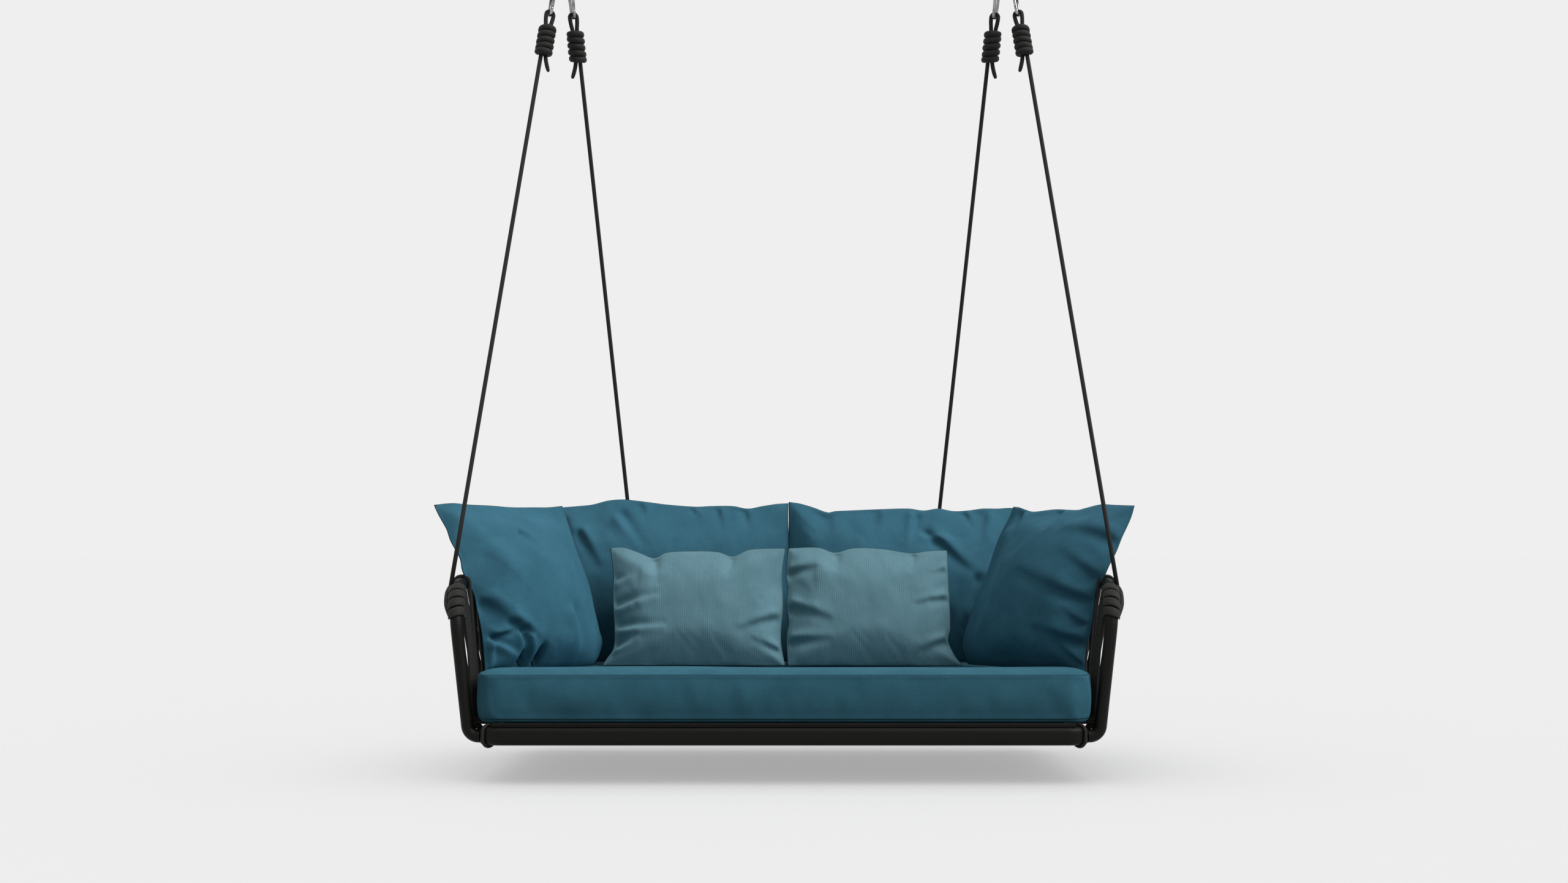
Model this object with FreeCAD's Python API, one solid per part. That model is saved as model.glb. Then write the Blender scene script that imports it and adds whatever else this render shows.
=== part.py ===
"""Hanging sofa: a roped tube frame with cushions, hung by four ropes from two ceiling brackets."""
import FreeCAD
import Part
import math
import os

os.makedirs("parts", exist_ok=True)

# Hanging: the ceiling plane is z = 0, and the swing axis runs along x below it
hang_height = 2190.0        # ceiling down to the underside of the seat frame
pivot_drop = 42.0           # ceiling down to the swing axis
pivot_back = 93.3           # swing axis behind the middle of the seat frame, over the balance point
hook_half_span = 650.0      # middle of the sofa to the middle of each ceiling bracket
hook_pair_gap = 50.0        # between the two carabiners of one bracket

# Fits shared by all pieces
fit = 0.3                   # between faces that lie close
pin_fit = 0.15              # round a pin in its hole
overrun = 5.0               # by which a cutting body passes what it cuts

# Ceiling bracket, with three ears that hold the pivot bolt
plate_length = 158.0
plate_width = 116.0
plate_thick = 6.0
plate_corner = 14.0
plate_hole = 11.0
plate_hole_pitch = 84.0
ear_thick = 6.0
ear_width = 56.0
ear_nose = 13.0
ear_reach = 66.0            # middle ear to each outer ear
bolt_d = 10.0
hex_flats = 16.0
head_thick = 6.5
nut_thick = 8.0
bolt_spare = 5.0            # bolt end past its nut

# Carabiner
wire_d = 9.0
carabiner_length = 90.0
carabiner_top_bore = 24.0
carabiner_low_bore = 14.0
carabiner_yaw = 24.0        # degrees out of the front to back plane
tongue_thick = 4.0
tongue_length = 11.0
gate_slot_spare = 0.3
gate_end_gap = 0.6
rivet_d = 3.0
nose_length = 4.0

# Suspension rope and its coiled knot
rope_d = 12.0
eye_height = 53.0
knot_turns = 4
knot_cord_d = 17.8
knot_pitch = 18.6
knot_radius = 17.6
tail_length = 40.0
tail_turn = 26.0            # degrees that the tail splays
tail_bend = 24.0
leg_bend = 60.0

# Tube frame of the arms and the back
tube_d = 34.0
tube_wall = 2.0
leg_back = 60.0             # front of the seat frame to the middle of the leg
leg_height = 20.0           # middle of the leg's lower end
leg_stub = 4.0
foot_bend = 30.0
arm_lean = 6.2              # degrees
arm_bend = 130.0
arm_height = 425.0          # middle of the top rail
rear_bend_radius = 90.0
spigot_length = 70.0
spigot_wall = 2.0
post_d = 25.0
post_half_span = 736.0      # middle of the sofa to each back post
post_reach = 32.0           # bend of each back post behind the seat frame

# Rope turns on the tube
front_turns = 4
front_turn_d = 20.0
turn_height = 6.5           # how far the flattened turns stand out from the tube
front_turn_top = 66.0       # degrees round the arm bend
front_turn_low = 20.0
rear_turns = 4
rear_turn_d = 18.6
rear_turn_pitch = 19.7
rear_rope_x = 468.0
rope_seat_turn = 77.0       # degrees round the arm bend where the front rope meets it
rope_seat_gap = 0.8         # rope's middle line kept off the tube, as its cut end is square

# Lacing rod and net
rod_d = 12.0
rod_height = 64.0
gusset_thick = 5.0
gusset_rim = 7.0
gusset_low = 14.0
gusset_high = 36.0
gusset_inset = 120.0
net_cord = 9.0
net_gap_width = 60.0
net_gap_height = 76.0

# Seat frame
seat_width = 1630.0
seat_depth = 800.0
rail_height = 50.0
rail_thick = 30.0
rail_wall = 2.0
seat_corner = 45.0
bar_width = 40.0
bar_height = 25.0
bar_wall = 2.0
bar_count = 3
band_cord = 8.0
slat_count = 8
slat_width = 74.0
slat_thick = 9.0
slat_inset = 22.0

# Seat cushion
seat_pad_over = 19.0        # past each end of the seat frame
seat_pad_rim = 4.0          # inside its front and back
seat_pad_thick = 134.0
seat_pad_corner = 80.0
seat_pad_pull = 16.0        # sides drawn in at the lower seam
seat_pad_levels_share = (0, 0.14, 0.45, 0.78, 0.93, 0.985, 1)      # heights of its sections
seat_pad_insets_share = (1, 0.2, 0, 0.1, 0.5, 2.2, 5)               # their sides, in parts of the pull

# Back cushions
back_pad_width = 754.0
back_pad_height = 462.0
back_pad_thick = 200.0
back_pad_gap = 12.0         # between the two
back_pad_inset = 118.0      # middle of the lower edge in front of the back of the seat frame
back_pad_lean = 100.0
back_pad_pull = 14.0

# Lumbar cushions
lumbar_width = 506.0
lumbar_height = 334.0
lumbar_thick = 118.0
lumbar_gap = 6.0
lumbar_inset = 302.0
lumbar_lean = 86.0
lumbar_pull = 12.0

# Corner cushions
corner_pad_height = 448.0
corner_pad_thick = 132.0
corner_arm_over = 21.0      # lower outer corner past the end of the seat frame
corner_arm_inset = 590.0    # and in front of its back
corner_back_in = 229.0      # lower inner corner inside the end of the seat frame
corner_back_inset = 296.0   # and in front of its back
corner_tip_out = 150.0      # top corner past the lower one
corner_tip_back = 30.0
corner_top_out = 84.0
corner_top_back = 84.0
pad_edge = 7.0              # half thickness of a sewn edge
corner_tips_share = (0, 0.02, 0.06, 0.1, 0.22, 0.6, 0.88, 1)
corner_tops_share = (0, -0.2, -0.35, -0.2, 0.2, 0.6, 0.9, 1)

# Sections of every upright cushion, from its foot to its top
levels_share = (0, 0.07, 0.2, 0.4, 0.6, 0.8, 0.93, 1)
swells_share = (0.3, 0.68, 0.92, 1, 0.96, 0.8, 0.5, 0.12)
pulls_share = (0.1, 0.5, 0.85, 1, 1, 0.8, 0.35, 0)

# Worked out from the sizes above
tube_r = tube_d / 2
rope_r = rope_d / 2
wire_r = wire_d / 2
rod_r = rod_d / 2
front_y = -seat_depth / 2
rear_y = seat_depth / 2
side_x = seat_width / 2
leg_y = front_y + leg_back
lean = math.radians(arm_lean)
foot_x = side_x + leg_stub
leg_low_x = foot_x + foot_bend * math.cos(lean)
leg_low_z = leg_height + foot_bend * (1 - math.sin(lean))
bend_low_z = arm_height - arm_bend * math.cos(lean)
bend_low_x = leg_low_x + (bend_low_z - leg_low_z) * math.tan(lean)
arm_x = bend_low_x + arm_bend * math.sin(lean)
back_y = rear_y + post_reach + (arm_height - leg_height) * math.tan(lean)
rod_x = arm_x - (arm_height - rod_height) * math.tan(lean)
rod_back_y = back_y - (arm_height - rod_height) * math.tan(lean)
seat_pad_width = seat_width + 2 * seat_pad_over
seat_pad_depth = seat_depth - 2 * seat_pad_rim
back_pad_foot = rear_y - back_pad_inset
lumbar_foot = rear_y - lumbar_inset
corner_arm_x = side_x + corner_arm_over
corner_arm_y = rear_y - corner_arm_inset
corner_back_x = side_x - corner_back_in
corner_back_y = rear_y - corner_back_inset
slat_top = rail_height + slat_thick
pad_base = slat_top + fit
pad_top = pad_base + seat_pad_thick
pivot_z = hang_height - pivot_drop
strand_x = rope_r + pin_fit


def vec(x, y, z):
    """Returns a point or direction."""
    return FreeCAD.Vector(x, y, z)


def spot(x, y, z):
    """Returns the point of the part's frame for a place measured from the seat frame's underside."""
    return vec(x, y - pivot_back, z - hang_height)


def save(node, *shapes):
    """Writes one sub-part, which may be a group of separate solids."""
    shape = shapes[0] if len(shapes) == 1 else Part.makeCompound(list(shapes))
    shape.exportStep("parts/" + node + ".step")


def line(start, end):
    """Returns a straight edge."""
    return Part.LineSegment(start, end).toShape()


def arc(start, middle, end):
    """Returns an arc through three points."""
    return Part.Arc(start, middle, end).toShape()


def unit(direction):
    """Returns a direction with a length of one."""
    return FreeCAD.Vector(direction).normalize()


def bent_wire(points, radii):
    """Returns straight runs through points, joined by tangent arcs of the given radii."""
    edges = []
    at = points[0]
    for before, corner, after, radius in zip(points, points[1:], points[2:], radii):
        into = unit(corner - before)
        out = unit(after - corner)
        half = into.getAngle(out) / 2
        start = corner - into * (radius * math.tan(half))
        end = corner + out * (radius * math.tan(half))
        inward = unit(out - into)
        middle = corner + inward * (radius / math.cos(half) - radius)
        if (start - at).Length > pin_fit:
            edges.append(line(at, start))
        edges.append(arc(start, middle, end))
        at = end
    if (points[-1] - at).Length > pin_fit:
        edges.append(line(at, points[-1]))
    return Part.Wire(edges)


def half_arc(start, heading, end):
    """Returns the arc that leaves start along heading and reaches end."""
    chord = end - start
    across = chord - heading * chord.dot(heading)
    if across.Length < pin_fit / chord.Length:
        return line(start, end)
    side = unit(across)
    radius = chord.dot(chord) / (2 * chord.dot(side))
    centre = start + side * radius
    bisector = unit((start - centre) + (end - centre))
    if heading.dot(chord) < 0:
        bisector = bisector * -1
    return arc(start, centre + bisector * radius, end)


def biarc_wire(points, headings):
    """Returns a smooth wire of arc pairs through points with the given headings."""
    edges = []
    for start, end, into, out in zip(points, points[1:], headings, headings[1:]):
        span = end - start
        total = into + out
        spread = 2 * (1 - into.dot(out))
        along = span.dot(total)
        reach = (math.sqrt(along * along + spread * span.dot(span)) - along) / spread
        joint = (start + end + (into - out) * reach) * (1 / 2)
        edges.append(half_arc(start, into, joint))
        edges.append(half_arc(end, out * -1, joint))
    return Part.Wire(Part.__sortEdges__(edges))


def ring_wire(centre, axis, radius):
    """Returns a circle as a wire."""
    return Part.Wire(Part.makeCircle(radius, centre, axis))


def round_bar(wire, radius):
    """Returns a solid bar of round section along a wire."""
    first = wire.OrderedEdges[0]
    start = wire.OrderedVertexes[0].Point
    heading = first.tangentAt(first.FirstParameter)
    if (first.valueAt(first.FirstParameter) - start).Length > pin_fit:
        heading = first.tangentAt(first.LastParameter)
    return wire.makePipeShell([ring_wire(start, heading, radius)], True, False)


def round_tube(wire, radius, wall):
    """Returns a hollow tube along a wire, open at both ends."""
    return round_bar(wire, radius).cut(round_bar(wire, radius - wall))


def box(size, centre):
    """Returns a box of a given size about its centre."""
    corner = centre - size * (1 / 2)
    return Part.makeBox(size.x, size.y, size.z, corner)


def rod_between(start, end, radius):
    """Returns a cylinder between two points."""
    return Part.makeCylinder(radius, (end - start).Length, start, end - start)


def hexagon(centre, axis, flats, thick):
    """Returns a six-sided bolt head or nut blank."""
    corner = flats / math.sqrt(3)
    sides = 6
    turn = FreeCAD.Rotation(vec(0, 0, 1), axis)
    points = []
    for index in range(sides + 1):
        angle = 2 * math.pi * index / sides
        points.append(centre + turn.multVec(vec(corner * math.cos(angle), corner * math.sin(angle), 0)))
    return Part.Face(Part.makePolygon(points)).extrude(axis * thick)


def least_gap(points, per_turn, diameter):
    """Returns the least gap of a coil to itself, from points along its middle."""
    gap = diameter * len(points)
    for index, point in enumerate(points):
        for other in points[index + per_turn * 3 // 4:]:
            gap = min(gap, (other - point).Length - diameter)
    return gap


def coil(place, turns, diameter, label):
    """Returns one unbroken coil; place gives a point for a count of turns."""
    steps = 4
    step = 1 / 1000
    count = turns * steps + 1
    points = [place(index / steps) for index in range(count)]
    headings = []
    for index in range(count):
        turn = index / steps
        headings.append(unit(place(turn + step) - place(turn - step)))
    wire = biarc_wire(points, headings)
    samples = []
    per_turn = 48
    for edge in wire.OrderedEdges:
        span = edge.LastParameter - edge.FirstParameter
        for share in range(per_turn // (2 * steps)):
            samples.append(edge.valueAt(edge.FirstParameter + span * share / (per_turn // (2 * steps))))
    print("%s least gap to itself %.2f mm" % (label, least_gap(samples, per_turn, diameter)))
    return round_bar(wire, diameter / 2)


def ceiling_bracket(side):
    """Returns one ceiling bracket with its ears welded on."""
    middle = vec(side * hook_half_span, 0, 0)
    plate = box(vec(plate_length, plate_width, plate_thick), middle - vec(0, 0, plate_thick / 2))
    upright = [edge for edge in plate.Edges if abs(edge.tangentAt(0).z) > 1 / 2]
    plate = plate.makeFillet(plate_corner, upright)
    for end in (-1, 1):
        hole = middle + vec(0, end * plate_hole_pitch / 2, -plate_thick - overrun)
        plate = plate.cut(Part.makeCylinder(plate_hole / 2, plate_thick + 2 * overrun, hole))
    for step in (-1, 0, 1):
        ear_x = middle.x + step * ear_reach
        plate = plate.fuse(bracket_ear(ear_x))
    shaft = vec(middle.x - plate_length, 0, -pivot_drop)
    bore = Part.makeCylinder(bolt_d / 2 + pin_fit, 2 * plate_length, shaft, vec(1, 0, 0))
    return plate.cut(bore).removeSplitter()


def bracket_ear(ear_x):
    """Returns one ear, which tapers to a round nose about the bolt."""
    left = ear_x - ear_thick / 2
    half = ear_width / 2
    top = -plate_thick
    fall = pivot_drop - plate_thick
    turn = math.atan2(half, fall) + math.acos(ear_nose / math.hypot(half, fall))
    flank_y = ear_nose * math.sin(turn)
    flank_z = -pivot_drop + ear_nose * math.cos(turn)
    near = vec(left, -flank_y, flank_z)
    far = vec(left, flank_y, flank_z)
    edges = [line(vec(left, -half, top), vec(left, half, top)),
             line(vec(left, half, top), far),
             arc(far, vec(left, 0, -pivot_drop - ear_nose), near),
             line(near, vec(left, -half, top))]
    return Part.Face(Part.Wire(edges)).extrude(vec(ear_thick, 0, 0))


def pivot_bolt(side):
    """Returns the bolt that the two carabiners of one side hang on."""
    grip = ear_reach + ear_thick / 2
    outward = vec(side, 0, 0)
    start = vec(side * (hook_half_span - grip), 0, -pivot_drop)
    length = 2 * grip + nut_thick + bolt_spare
    shank = Part.makeCylinder(bolt_d / 2, length, start, outward)
    head = hexagon(start, outward * -1, hex_flats, head_thick)
    return shank.fuse(head).removeSplitter()


def pivot_nut(side):
    """Returns the nut of one pivot bolt."""
    outward = vec(side, 0, 0)
    start = vec(side * (hook_half_span + ear_reach + ear_thick / 2), 0, -pivot_drop)
    blank = hexagon(start, outward, hex_flats, nut_thick)
    bore_start = start - outward * overrun
    bore = Part.makeCylinder(bolt_d / 2 + pin_fit, nut_thick + 2 * overrun, bore_start, outward)
    return blank.cut(bore)


class Hanger:
    """One rope with its carabiner: its own frame has z up along the rope from the pivot bolt."""

    def __init__(self, hook, seat, tail_side):
        """Sets the frame from the hook's point, the rope's lower end and the tail's side."""
        self.tail_side = tail_side
        yaw = math.radians(carabiner_yaw) * math.copysign(1, hook.x)
        target = seat
        for _ in range(4):
            up = unit(hook - target)
            ahead = vec(math.sin(yaw), math.cos(yaw), 0)
            depth = unit(ahead - up * ahead.dot(up))
            across = depth.cross(up)
            target = seat + across * (tail_side * strand_x)
        matrix = FreeCAD.Matrix(across.x, depth.x, up.x, hook.x, across.y, depth.y, up.y, hook.y,
                                across.z, depth.z, up.z, hook.z, 0, 0, 0, 1)
        self.matrix = matrix
        self.across = across
        self.length = (hook - target).Length
        self.top_radius = (carabiner_top_bore + wire_d) / 2
        self.low_radius = (carabiner_low_bore + wire_d) / 2
        self.top_z = bolt_d / 2 + fit - carabiner_top_bore / 2
        self.low_z = self.top_z + self.top_radius + wire_d - carabiner_length + self.low_radius
        self.bar_z = self.low_z - self.low_radius
        self.eye_radius = wire_r + rope_r + fit
        self.knot_top = self.bar_z + self.eye_radius + rope_r - eye_height
        self.knot_low = self.knot_top - knot_turns * knot_pitch - knot_cord_d
        shut_top, self.shut_low = self.flank(-1)
        down = unit(self.shut_low - shut_top)
        self.nose = shut_top + down * nose_length
        self.gate_top = self.nose + down * gate_end_gap
        self.pivot = self.shut_low - down * (tongue_length / 2)

    def settle(self, shape):
        """Returns a shape moved from the hanger's own frame to its place."""
        return shape.transformed(self.matrix)

    def to_part(self, point):
        """Returns a point of the hanger's own frame in the part's frame."""
        return self.matrix.multVec(point)

    def flank(self, side):
        """Returns the ends of the straight flank that touches both end arcs."""
        fall = self.top_z - self.low_z
        tilt = math.asin((self.top_radius - self.low_radius) / fall)
        out = vec(0, side * math.cos(tilt), math.sin(tilt))
        top = vec(0, 0, self.top_z) + out * self.top_radius
        low = vec(0, 0, self.low_z) + out * self.low_radius
        return top, low

    def body(self):
        """Returns the bent wire of the carabiner with its tongue for the gate."""
        shut_top = self.flank(-1)[0]
        open_top, open_low = self.flank(1)
        crest = vec(0, 0, self.top_z + self.top_radius)
        base = vec(0, 0, self.bar_z)
        wire = Part.Wire([line(self.nose, shut_top), arc(shut_top, crest, open_top),
                          line(open_top, open_low), arc(open_low, base, self.shut_low)])
        rivet_bore = self.rivet(rivet_d / 2 + pin_fit, wire_d)
        return round_bar(wire, wire_r).fuse(self.tongue()).cut(rivet_bore).removeSplitter()

    def tongue(self):
        """Returns the flat tongue from the wire's end to its round top about the rivet."""
        up = unit(self.pivot - self.shut_low)
        side = vec(0, up.z, -up.y) * wire_r
        shift = vec(tongue_thick / 2, 0, 0)
        root = self.shut_low - up * pin_fit
        edges = [line(root - side, root + side),
                 line(root + side, self.pivot + side),
                 arc(self.pivot + side, self.pivot + up * wire_r, self.pivot - side),
                 line(self.pivot - side, root - side)]
        return Part.Face(Part.Wire(edges)).extrude(shift * 2).translated(shift * -1)

    def rivet(self, radius, length):
        """Returns the gate's rivet, or its hole."""
        return Part.makeCylinder(radius, length, self.pivot - vec(length / 2, 0, 0), vec(1, 0, 0))

    def gate(self):
        """Returns the gate, forked over the tongue."""
        up = unit(self.gate_top - self.pivot)
        heel_radius = tongue_length / 2 - gate_end_gap
        heel = self.pivot - up * heel_radius
        heel_end = rod_between(heel, self.pivot, wire_r).common(self.rivet(heel_radius, wire_d))
        bar = rod_between(self.pivot, self.gate_top, wire_r).fuse(heel_end).removeSplitter()
        slot_half = tongue_thick / 2 + gate_slot_spare
        slot_top = self.pivot + up * (wire_r + gate_end_gap)
        slot_low = heel - up * overrun
        side = vec(0, up.z, -up.y) * (wire_r + overrun)
        corners = [slot_low - side, slot_low + side, slot_top + side, slot_top - side, slot_low - side]
        shift = vec(slot_half, 0, 0)
        slot = Part.Face(Part.makePolygon(corners)).extrude(shift * 2).translated(shift * -1)
        return bar.cut(slot).cut(self.rivet(rivet_d / 2 + pin_fit, 2 * wire_d))

    def rope(self):
        """Returns the rope: up through the knot, round the carabiner and down to its tail."""
        standing = -self.tail_side * strand_x
        foot = vec(standing, 0, -self.length)
        fall = self.bar_z - self.knot_top
        rise = math.acos(self.eye_radius / math.hypot(strand_x, fall)) + math.atan2(-fall, strand_x)
        touch_x = self.eye_radius * math.cos(rise)
        touch_z = self.bar_z + self.eye_radius * math.sin(rise)
        way = math.copysign(1, standing)
        into = vec(way * touch_x, 0, touch_z)
        out = vec(-way * touch_x, 0, touch_z)
        crest = vec(0, 0, self.bar_z + self.eye_radius)
        splay = math.radians(tail_turn)
        tail_root = vec(-standing, 0, self.knot_low - tail_bend * math.tan(splay / 2) - fit)
        tail_end = tail_root + vec(-way * math.sin(splay), 0, -math.cos(splay)) * tail_length
        up_leg = bent_wire([foot, vec(standing, 0, self.knot_top), into], [leg_bend])
        down_points = [out, vec(-standing, 0, self.knot_top), tail_root, tail_end]
        down_leg = bent_wire(down_points, [leg_bend, tail_bend])
        edges = up_leg.OrderedEdges + [arc(into, crest, out)] + down_leg.OrderedEdges
        return round_bar(Part.Wire(edges), rope_r)

    def knot(self, label):
        """Returns the coiled knot round the two strands of the rope."""
        base = self.knot_low + knot_cord_d / 2

        def place(turn):
            """Returns the coil's point after a count of turns."""
            angle = 2 * math.pi * turn * self.tail_side
            rise = base + knot_pitch * turn
            return vec(knot_radius * math.sin(angle), -knot_radius * math.cos(angle), rise)

        turns = coil(place, knot_turns, knot_cord_d, label)
        bore_low = vec(0, 0, self.knot_low - knot_cord_d)
        bore_length = (knot_turns + 2) * knot_pitch + knot_cord_d
        core = Part.makeCylinder(strand_x + rope_r + fit, bore_length, bore_low)
        return turns.cut(core)


def arm_frame(side, angle):
    """Returns the middle of the arm bend, its outward side and its radial, at an angle round it."""
    rise = vec(side * math.sin(lean), 0, math.cos(lean))
    outward = vec(side * math.cos(lean), 0, -math.sin(lean))
    start = spot(side * bend_low_x, leg_y, bend_low_z)
    hub = start + vec(0, arm_bend, 0)
    radial = vec(0, -math.cos(angle), 0) + rise * math.sin(angle)
    return hub + radial * arm_bend, outward, radial


def arm_wire(side):
    """Returns the line of one arm tube: foot, leg, bend and top rail."""
    foot = spot(side * side_x, leg_y, leg_height)
    knee = spot(side * (foot_x + foot_bend * math.tan(math.pi / 4 - lean / 2)), leg_y, leg_height)
    shoulder = spot(side * arm_x, leg_y, arm_height)
    rear = spot(side * arm_x, back_y - rear_bend_radius, arm_height)
    return bent_wire([foot, knee, shoulder, rear], [foot_bend, arm_bend])


def back_wire():
    """Returns the line of the back tube with its two corner bends."""
    ends = [spot(-arm_x, back_y - rear_bend_radius, arm_height), spot(-arm_x, back_y, arm_height),
            spot(arm_x, back_y, arm_height), spot(arm_x, back_y - rear_bend_radius, arm_height)]
    return bent_wire(ends, [rear_bend_radius, rear_bend_radius])


def oval(centre, heading, half_width, half_height):
    """Returns the flat-sided oval section of a seat rail."""
    side = heading.cross(vec(0, 0, 1)) * half_width
    flat = vec(0, 0, half_height - half_width)
    crown = vec(0, 0, half_height)
    edges = [line(centre + side - flat, centre + side + flat),
             arc(centre + side + flat, centre + crown, centre - side + flat),
             line(centre - side + flat, centre - side - flat),
             arc(centre - side - flat, centre - crown, centre + side - flat)]
    return Part.Wire(edges)


def seat_rail(points, radii):
    """Returns a hollow seat rail along its line."""
    wire = bent_wire(points, radii)
    heading = unit(points[1] - points[0])
    half = rail_thick / 2
    outer = wire.makePipeShell([oval(points[0], heading, half, rail_height / 2)], True, False)
    bore = oval(points[0], heading, half - rail_wall, rail_height / 2 - rail_wall)
    return outer.cut(wire.makePipeShell([bore], True, False))


def end_rail(end):
    """Returns the front (-1) or back (1) seat rail with its two corner bends."""
    mid_x = side_x - rail_thick / 2
    mid_y = end * (seat_depth / 2 - rail_thick / 2)
    mid_z = rail_height / 2
    inner_y = mid_y - end * seat_corner
    points = [spot(-mid_x, inner_y, mid_z), spot(-mid_x, mid_y, mid_z), spot(mid_x, mid_y, mid_z),
              spot(mid_x, inner_y, mid_z)]
    return seat_rail(points, [seat_corner, seat_corner])


def side_rail(side):
    """Returns one straight side rail between the corner bends."""
    mid_x = side * (side_x - rail_thick / 2)
    reach = seat_depth / 2 - rail_thick / 2 - seat_corner
    return seat_rail([spot(mid_x, -reach, rail_height / 2), spot(mid_x, reach, rail_height / 2)], [])


def cross_bar(index):
    """Returns one hollow cross bar between the front and back rails."""
    pitch = seat_width / (bar_count + 1)
    bar_x = -side_x + pitch * (index + 1)
    length = seat_depth - 2 * rail_thick
    centre = spot(bar_x, 0, rail_height - bar_height / 2)
    outer = box(vec(bar_width, length, bar_height), centre)
    bore = box(vec(bar_width - 2 * bar_wall, length + overrun, bar_height - 2 * bar_wall), centre)
    return outer.cut(bore)


def corner_band(side):
    """Returns the cord ring round the seat rail in a front corner."""
    diagonal = math.pi / 4
    hub = spot(side * (side_x - rail_thick / 2 - seat_corner), front_y + rail_thick / 2 + seat_corner,
               rail_height / 2)
    out = vec(side * math.sin(diagonal), -math.cos(diagonal), 0)
    centre = hub + out * seat_corner
    heading = vec(side * math.cos(diagonal), math.sin(diagonal), 0)
    clear = fit + pin_fit + band_cord / 2
    ring = oval(centre, heading, rail_thick / 2 + clear, rail_height / 2 + clear)
    first = ring.OrderedEdges[0]
    start = first.valueAt(first.FirstParameter)
    section = ring_wire(start, first.tangentAt(first.FirstParameter), band_cord / 2)
    return ring.makePipeShell([section], True, False)


def back_post(side):
    """Returns one bent post from the back seat rail up to the back tube; the rod passes through it."""
    post_x = side * post_half_span
    foot = spot(post_x, rear_y, leg_height)
    knee_y = rod_back_y - (rod_height - leg_height) * math.tan(lean)
    knee = spot(post_x, knee_y, leg_height)
    wire = bent_wire([foot, knee, spot(post_x, back_y, arm_height)], [foot_bend])
    post = round_tube(wire, post_d / 2, tube_wall)
    rail_end = vec(post_d, 0, 0)
    top = spot(post_x, back_y, arm_height)
    rod = spot(post_x, rod_back_y, rod_height)
    rail = rod_between(top - rail_end, top + rail_end, tube_r + pin_fit)
    return post.cut(rail).cut(rod_between(rod - rail_end, rod + rail_end, rod_r + pin_fit))


def tube_spigot(side):
    """Returns the sleeve inside the joint of an arm tube and the back tube."""
    start = spot(side * arm_x, back_y - rear_bend_radius - spigot_length, arm_height)
    end = spot(side * arm_x, back_y - rear_bend_radius, arm_height)
    radius = tube_r - tube_wall - pin_fit
    return rod_between(start, end, radius).cut(rod_between(start, end, radius - spigot_wall))


def front_winding(side):
    """Returns the rope turns round the bend of one arm."""
    mid_radius = tube_r + turn_height - front_turn_d / 2
    span = math.radians(front_turn_top - front_turn_low)

    def place(turn):
        """Returns the winding's point after a count of turns."""
        centre, outward, radial = arm_frame(side, math.radians(front_turn_top) - span * turn / front_turns)
        angle = 2 * math.pi * turn
        return centre + outward * (mid_radius * math.cos(angle)) + radial * (mid_radius * math.sin(angle))

    turns = coil(place, front_turns, front_turn_d, "front winding")
    return turns.cut(round_bar(arm_wire(side), tube_r + fit))


def rear_winding(side):
    """Returns the rope turns round the back tube."""
    mid_radius = tube_r + turn_height - rear_turn_d / 2
    first_x = rear_rope_x + rope_r + rear_turn_d / 2

    def place(turn):
        """Returns the winding's point after a count of turns."""
        angle = 2 * math.pi * turn
        centre = spot(side * (first_x + rear_turn_pitch * turn), back_y, arm_height)
        return centre + vec(0, mid_radius * math.cos(angle), mid_radius * math.sin(angle))

    turns = coil(place, rear_turns, rear_turn_d, "rear winding")
    return turns.cut(round_bar(back_wire(), tube_r + fit))


def lacing_rod(side):
    """Returns the side (-1 or 1) or back (0) rod that the net is laced to."""
    if side == 0:
        bend_y = rod_back_y - rear_bend_radius
        ends = [spot(-rod_x, bend_y, rod_height), spot(-rod_x, rod_back_y, rod_height),
                spot(rod_x, rod_back_y, rod_height), spot(rod_x, bend_y, rod_height)]
        return round_bar(bent_wire(ends, [rear_bend_radius, rear_bend_radius]), rod_r)
    start = spot(side * rod_x, leg_y + tube_r + fit, rod_height)
    end = spot(side * rod_x, rod_back_y - rear_bend_radius, rod_height)
    return rod_between(start, end, rod_r)


def gusset(face, rod, along):
    """Returns one small plate from a seat rail's face out to the rod, which lies in its round seat."""
    out = unit(vec(rod.x - face.x, rod.y - face.y, 0))
    up = vec(0, 0, 1)
    low = face + up * gusset_low
    high = face + up * gusset_high
    rim = out * (rod_r + gusset_rim)
    edges = [line(low, high), line(high, rod - rim), line(rod - rim, rod + rim), line(rod + rim, low)]
    shift = along * (gusset_thick / 2)
    plate = Part.Face(Part.Wire(edges)).extrude(shift * 2).translated(shift * -1)
    return plate.cut(rod_between(rod - along * overrun, rod + along * overrun, rod_r + pin_fit))


def gussets():
    """Returns all the gussets of the lacing rods."""
    plates = []
    reach = seat_depth / 2 - gusset_inset
    for side in (-1, 1):
        for end in (-1, 1):
            face = spot(side * side_x, end * reach, 0)
            plates.append(gusset(face, spot(side * rod_x, end * reach, rod_height), vec(0, 1, 0)))
    for step in (-1, 0, 1):
        mid_x = step * (side_x - 2 * gusset_inset)
        face = spot(mid_x, rear_y, 0)
        plates.append(gusset(face, spot(mid_x, rod_back_y, rod_height), vec(1, 0, 0)))
    return plates


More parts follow.
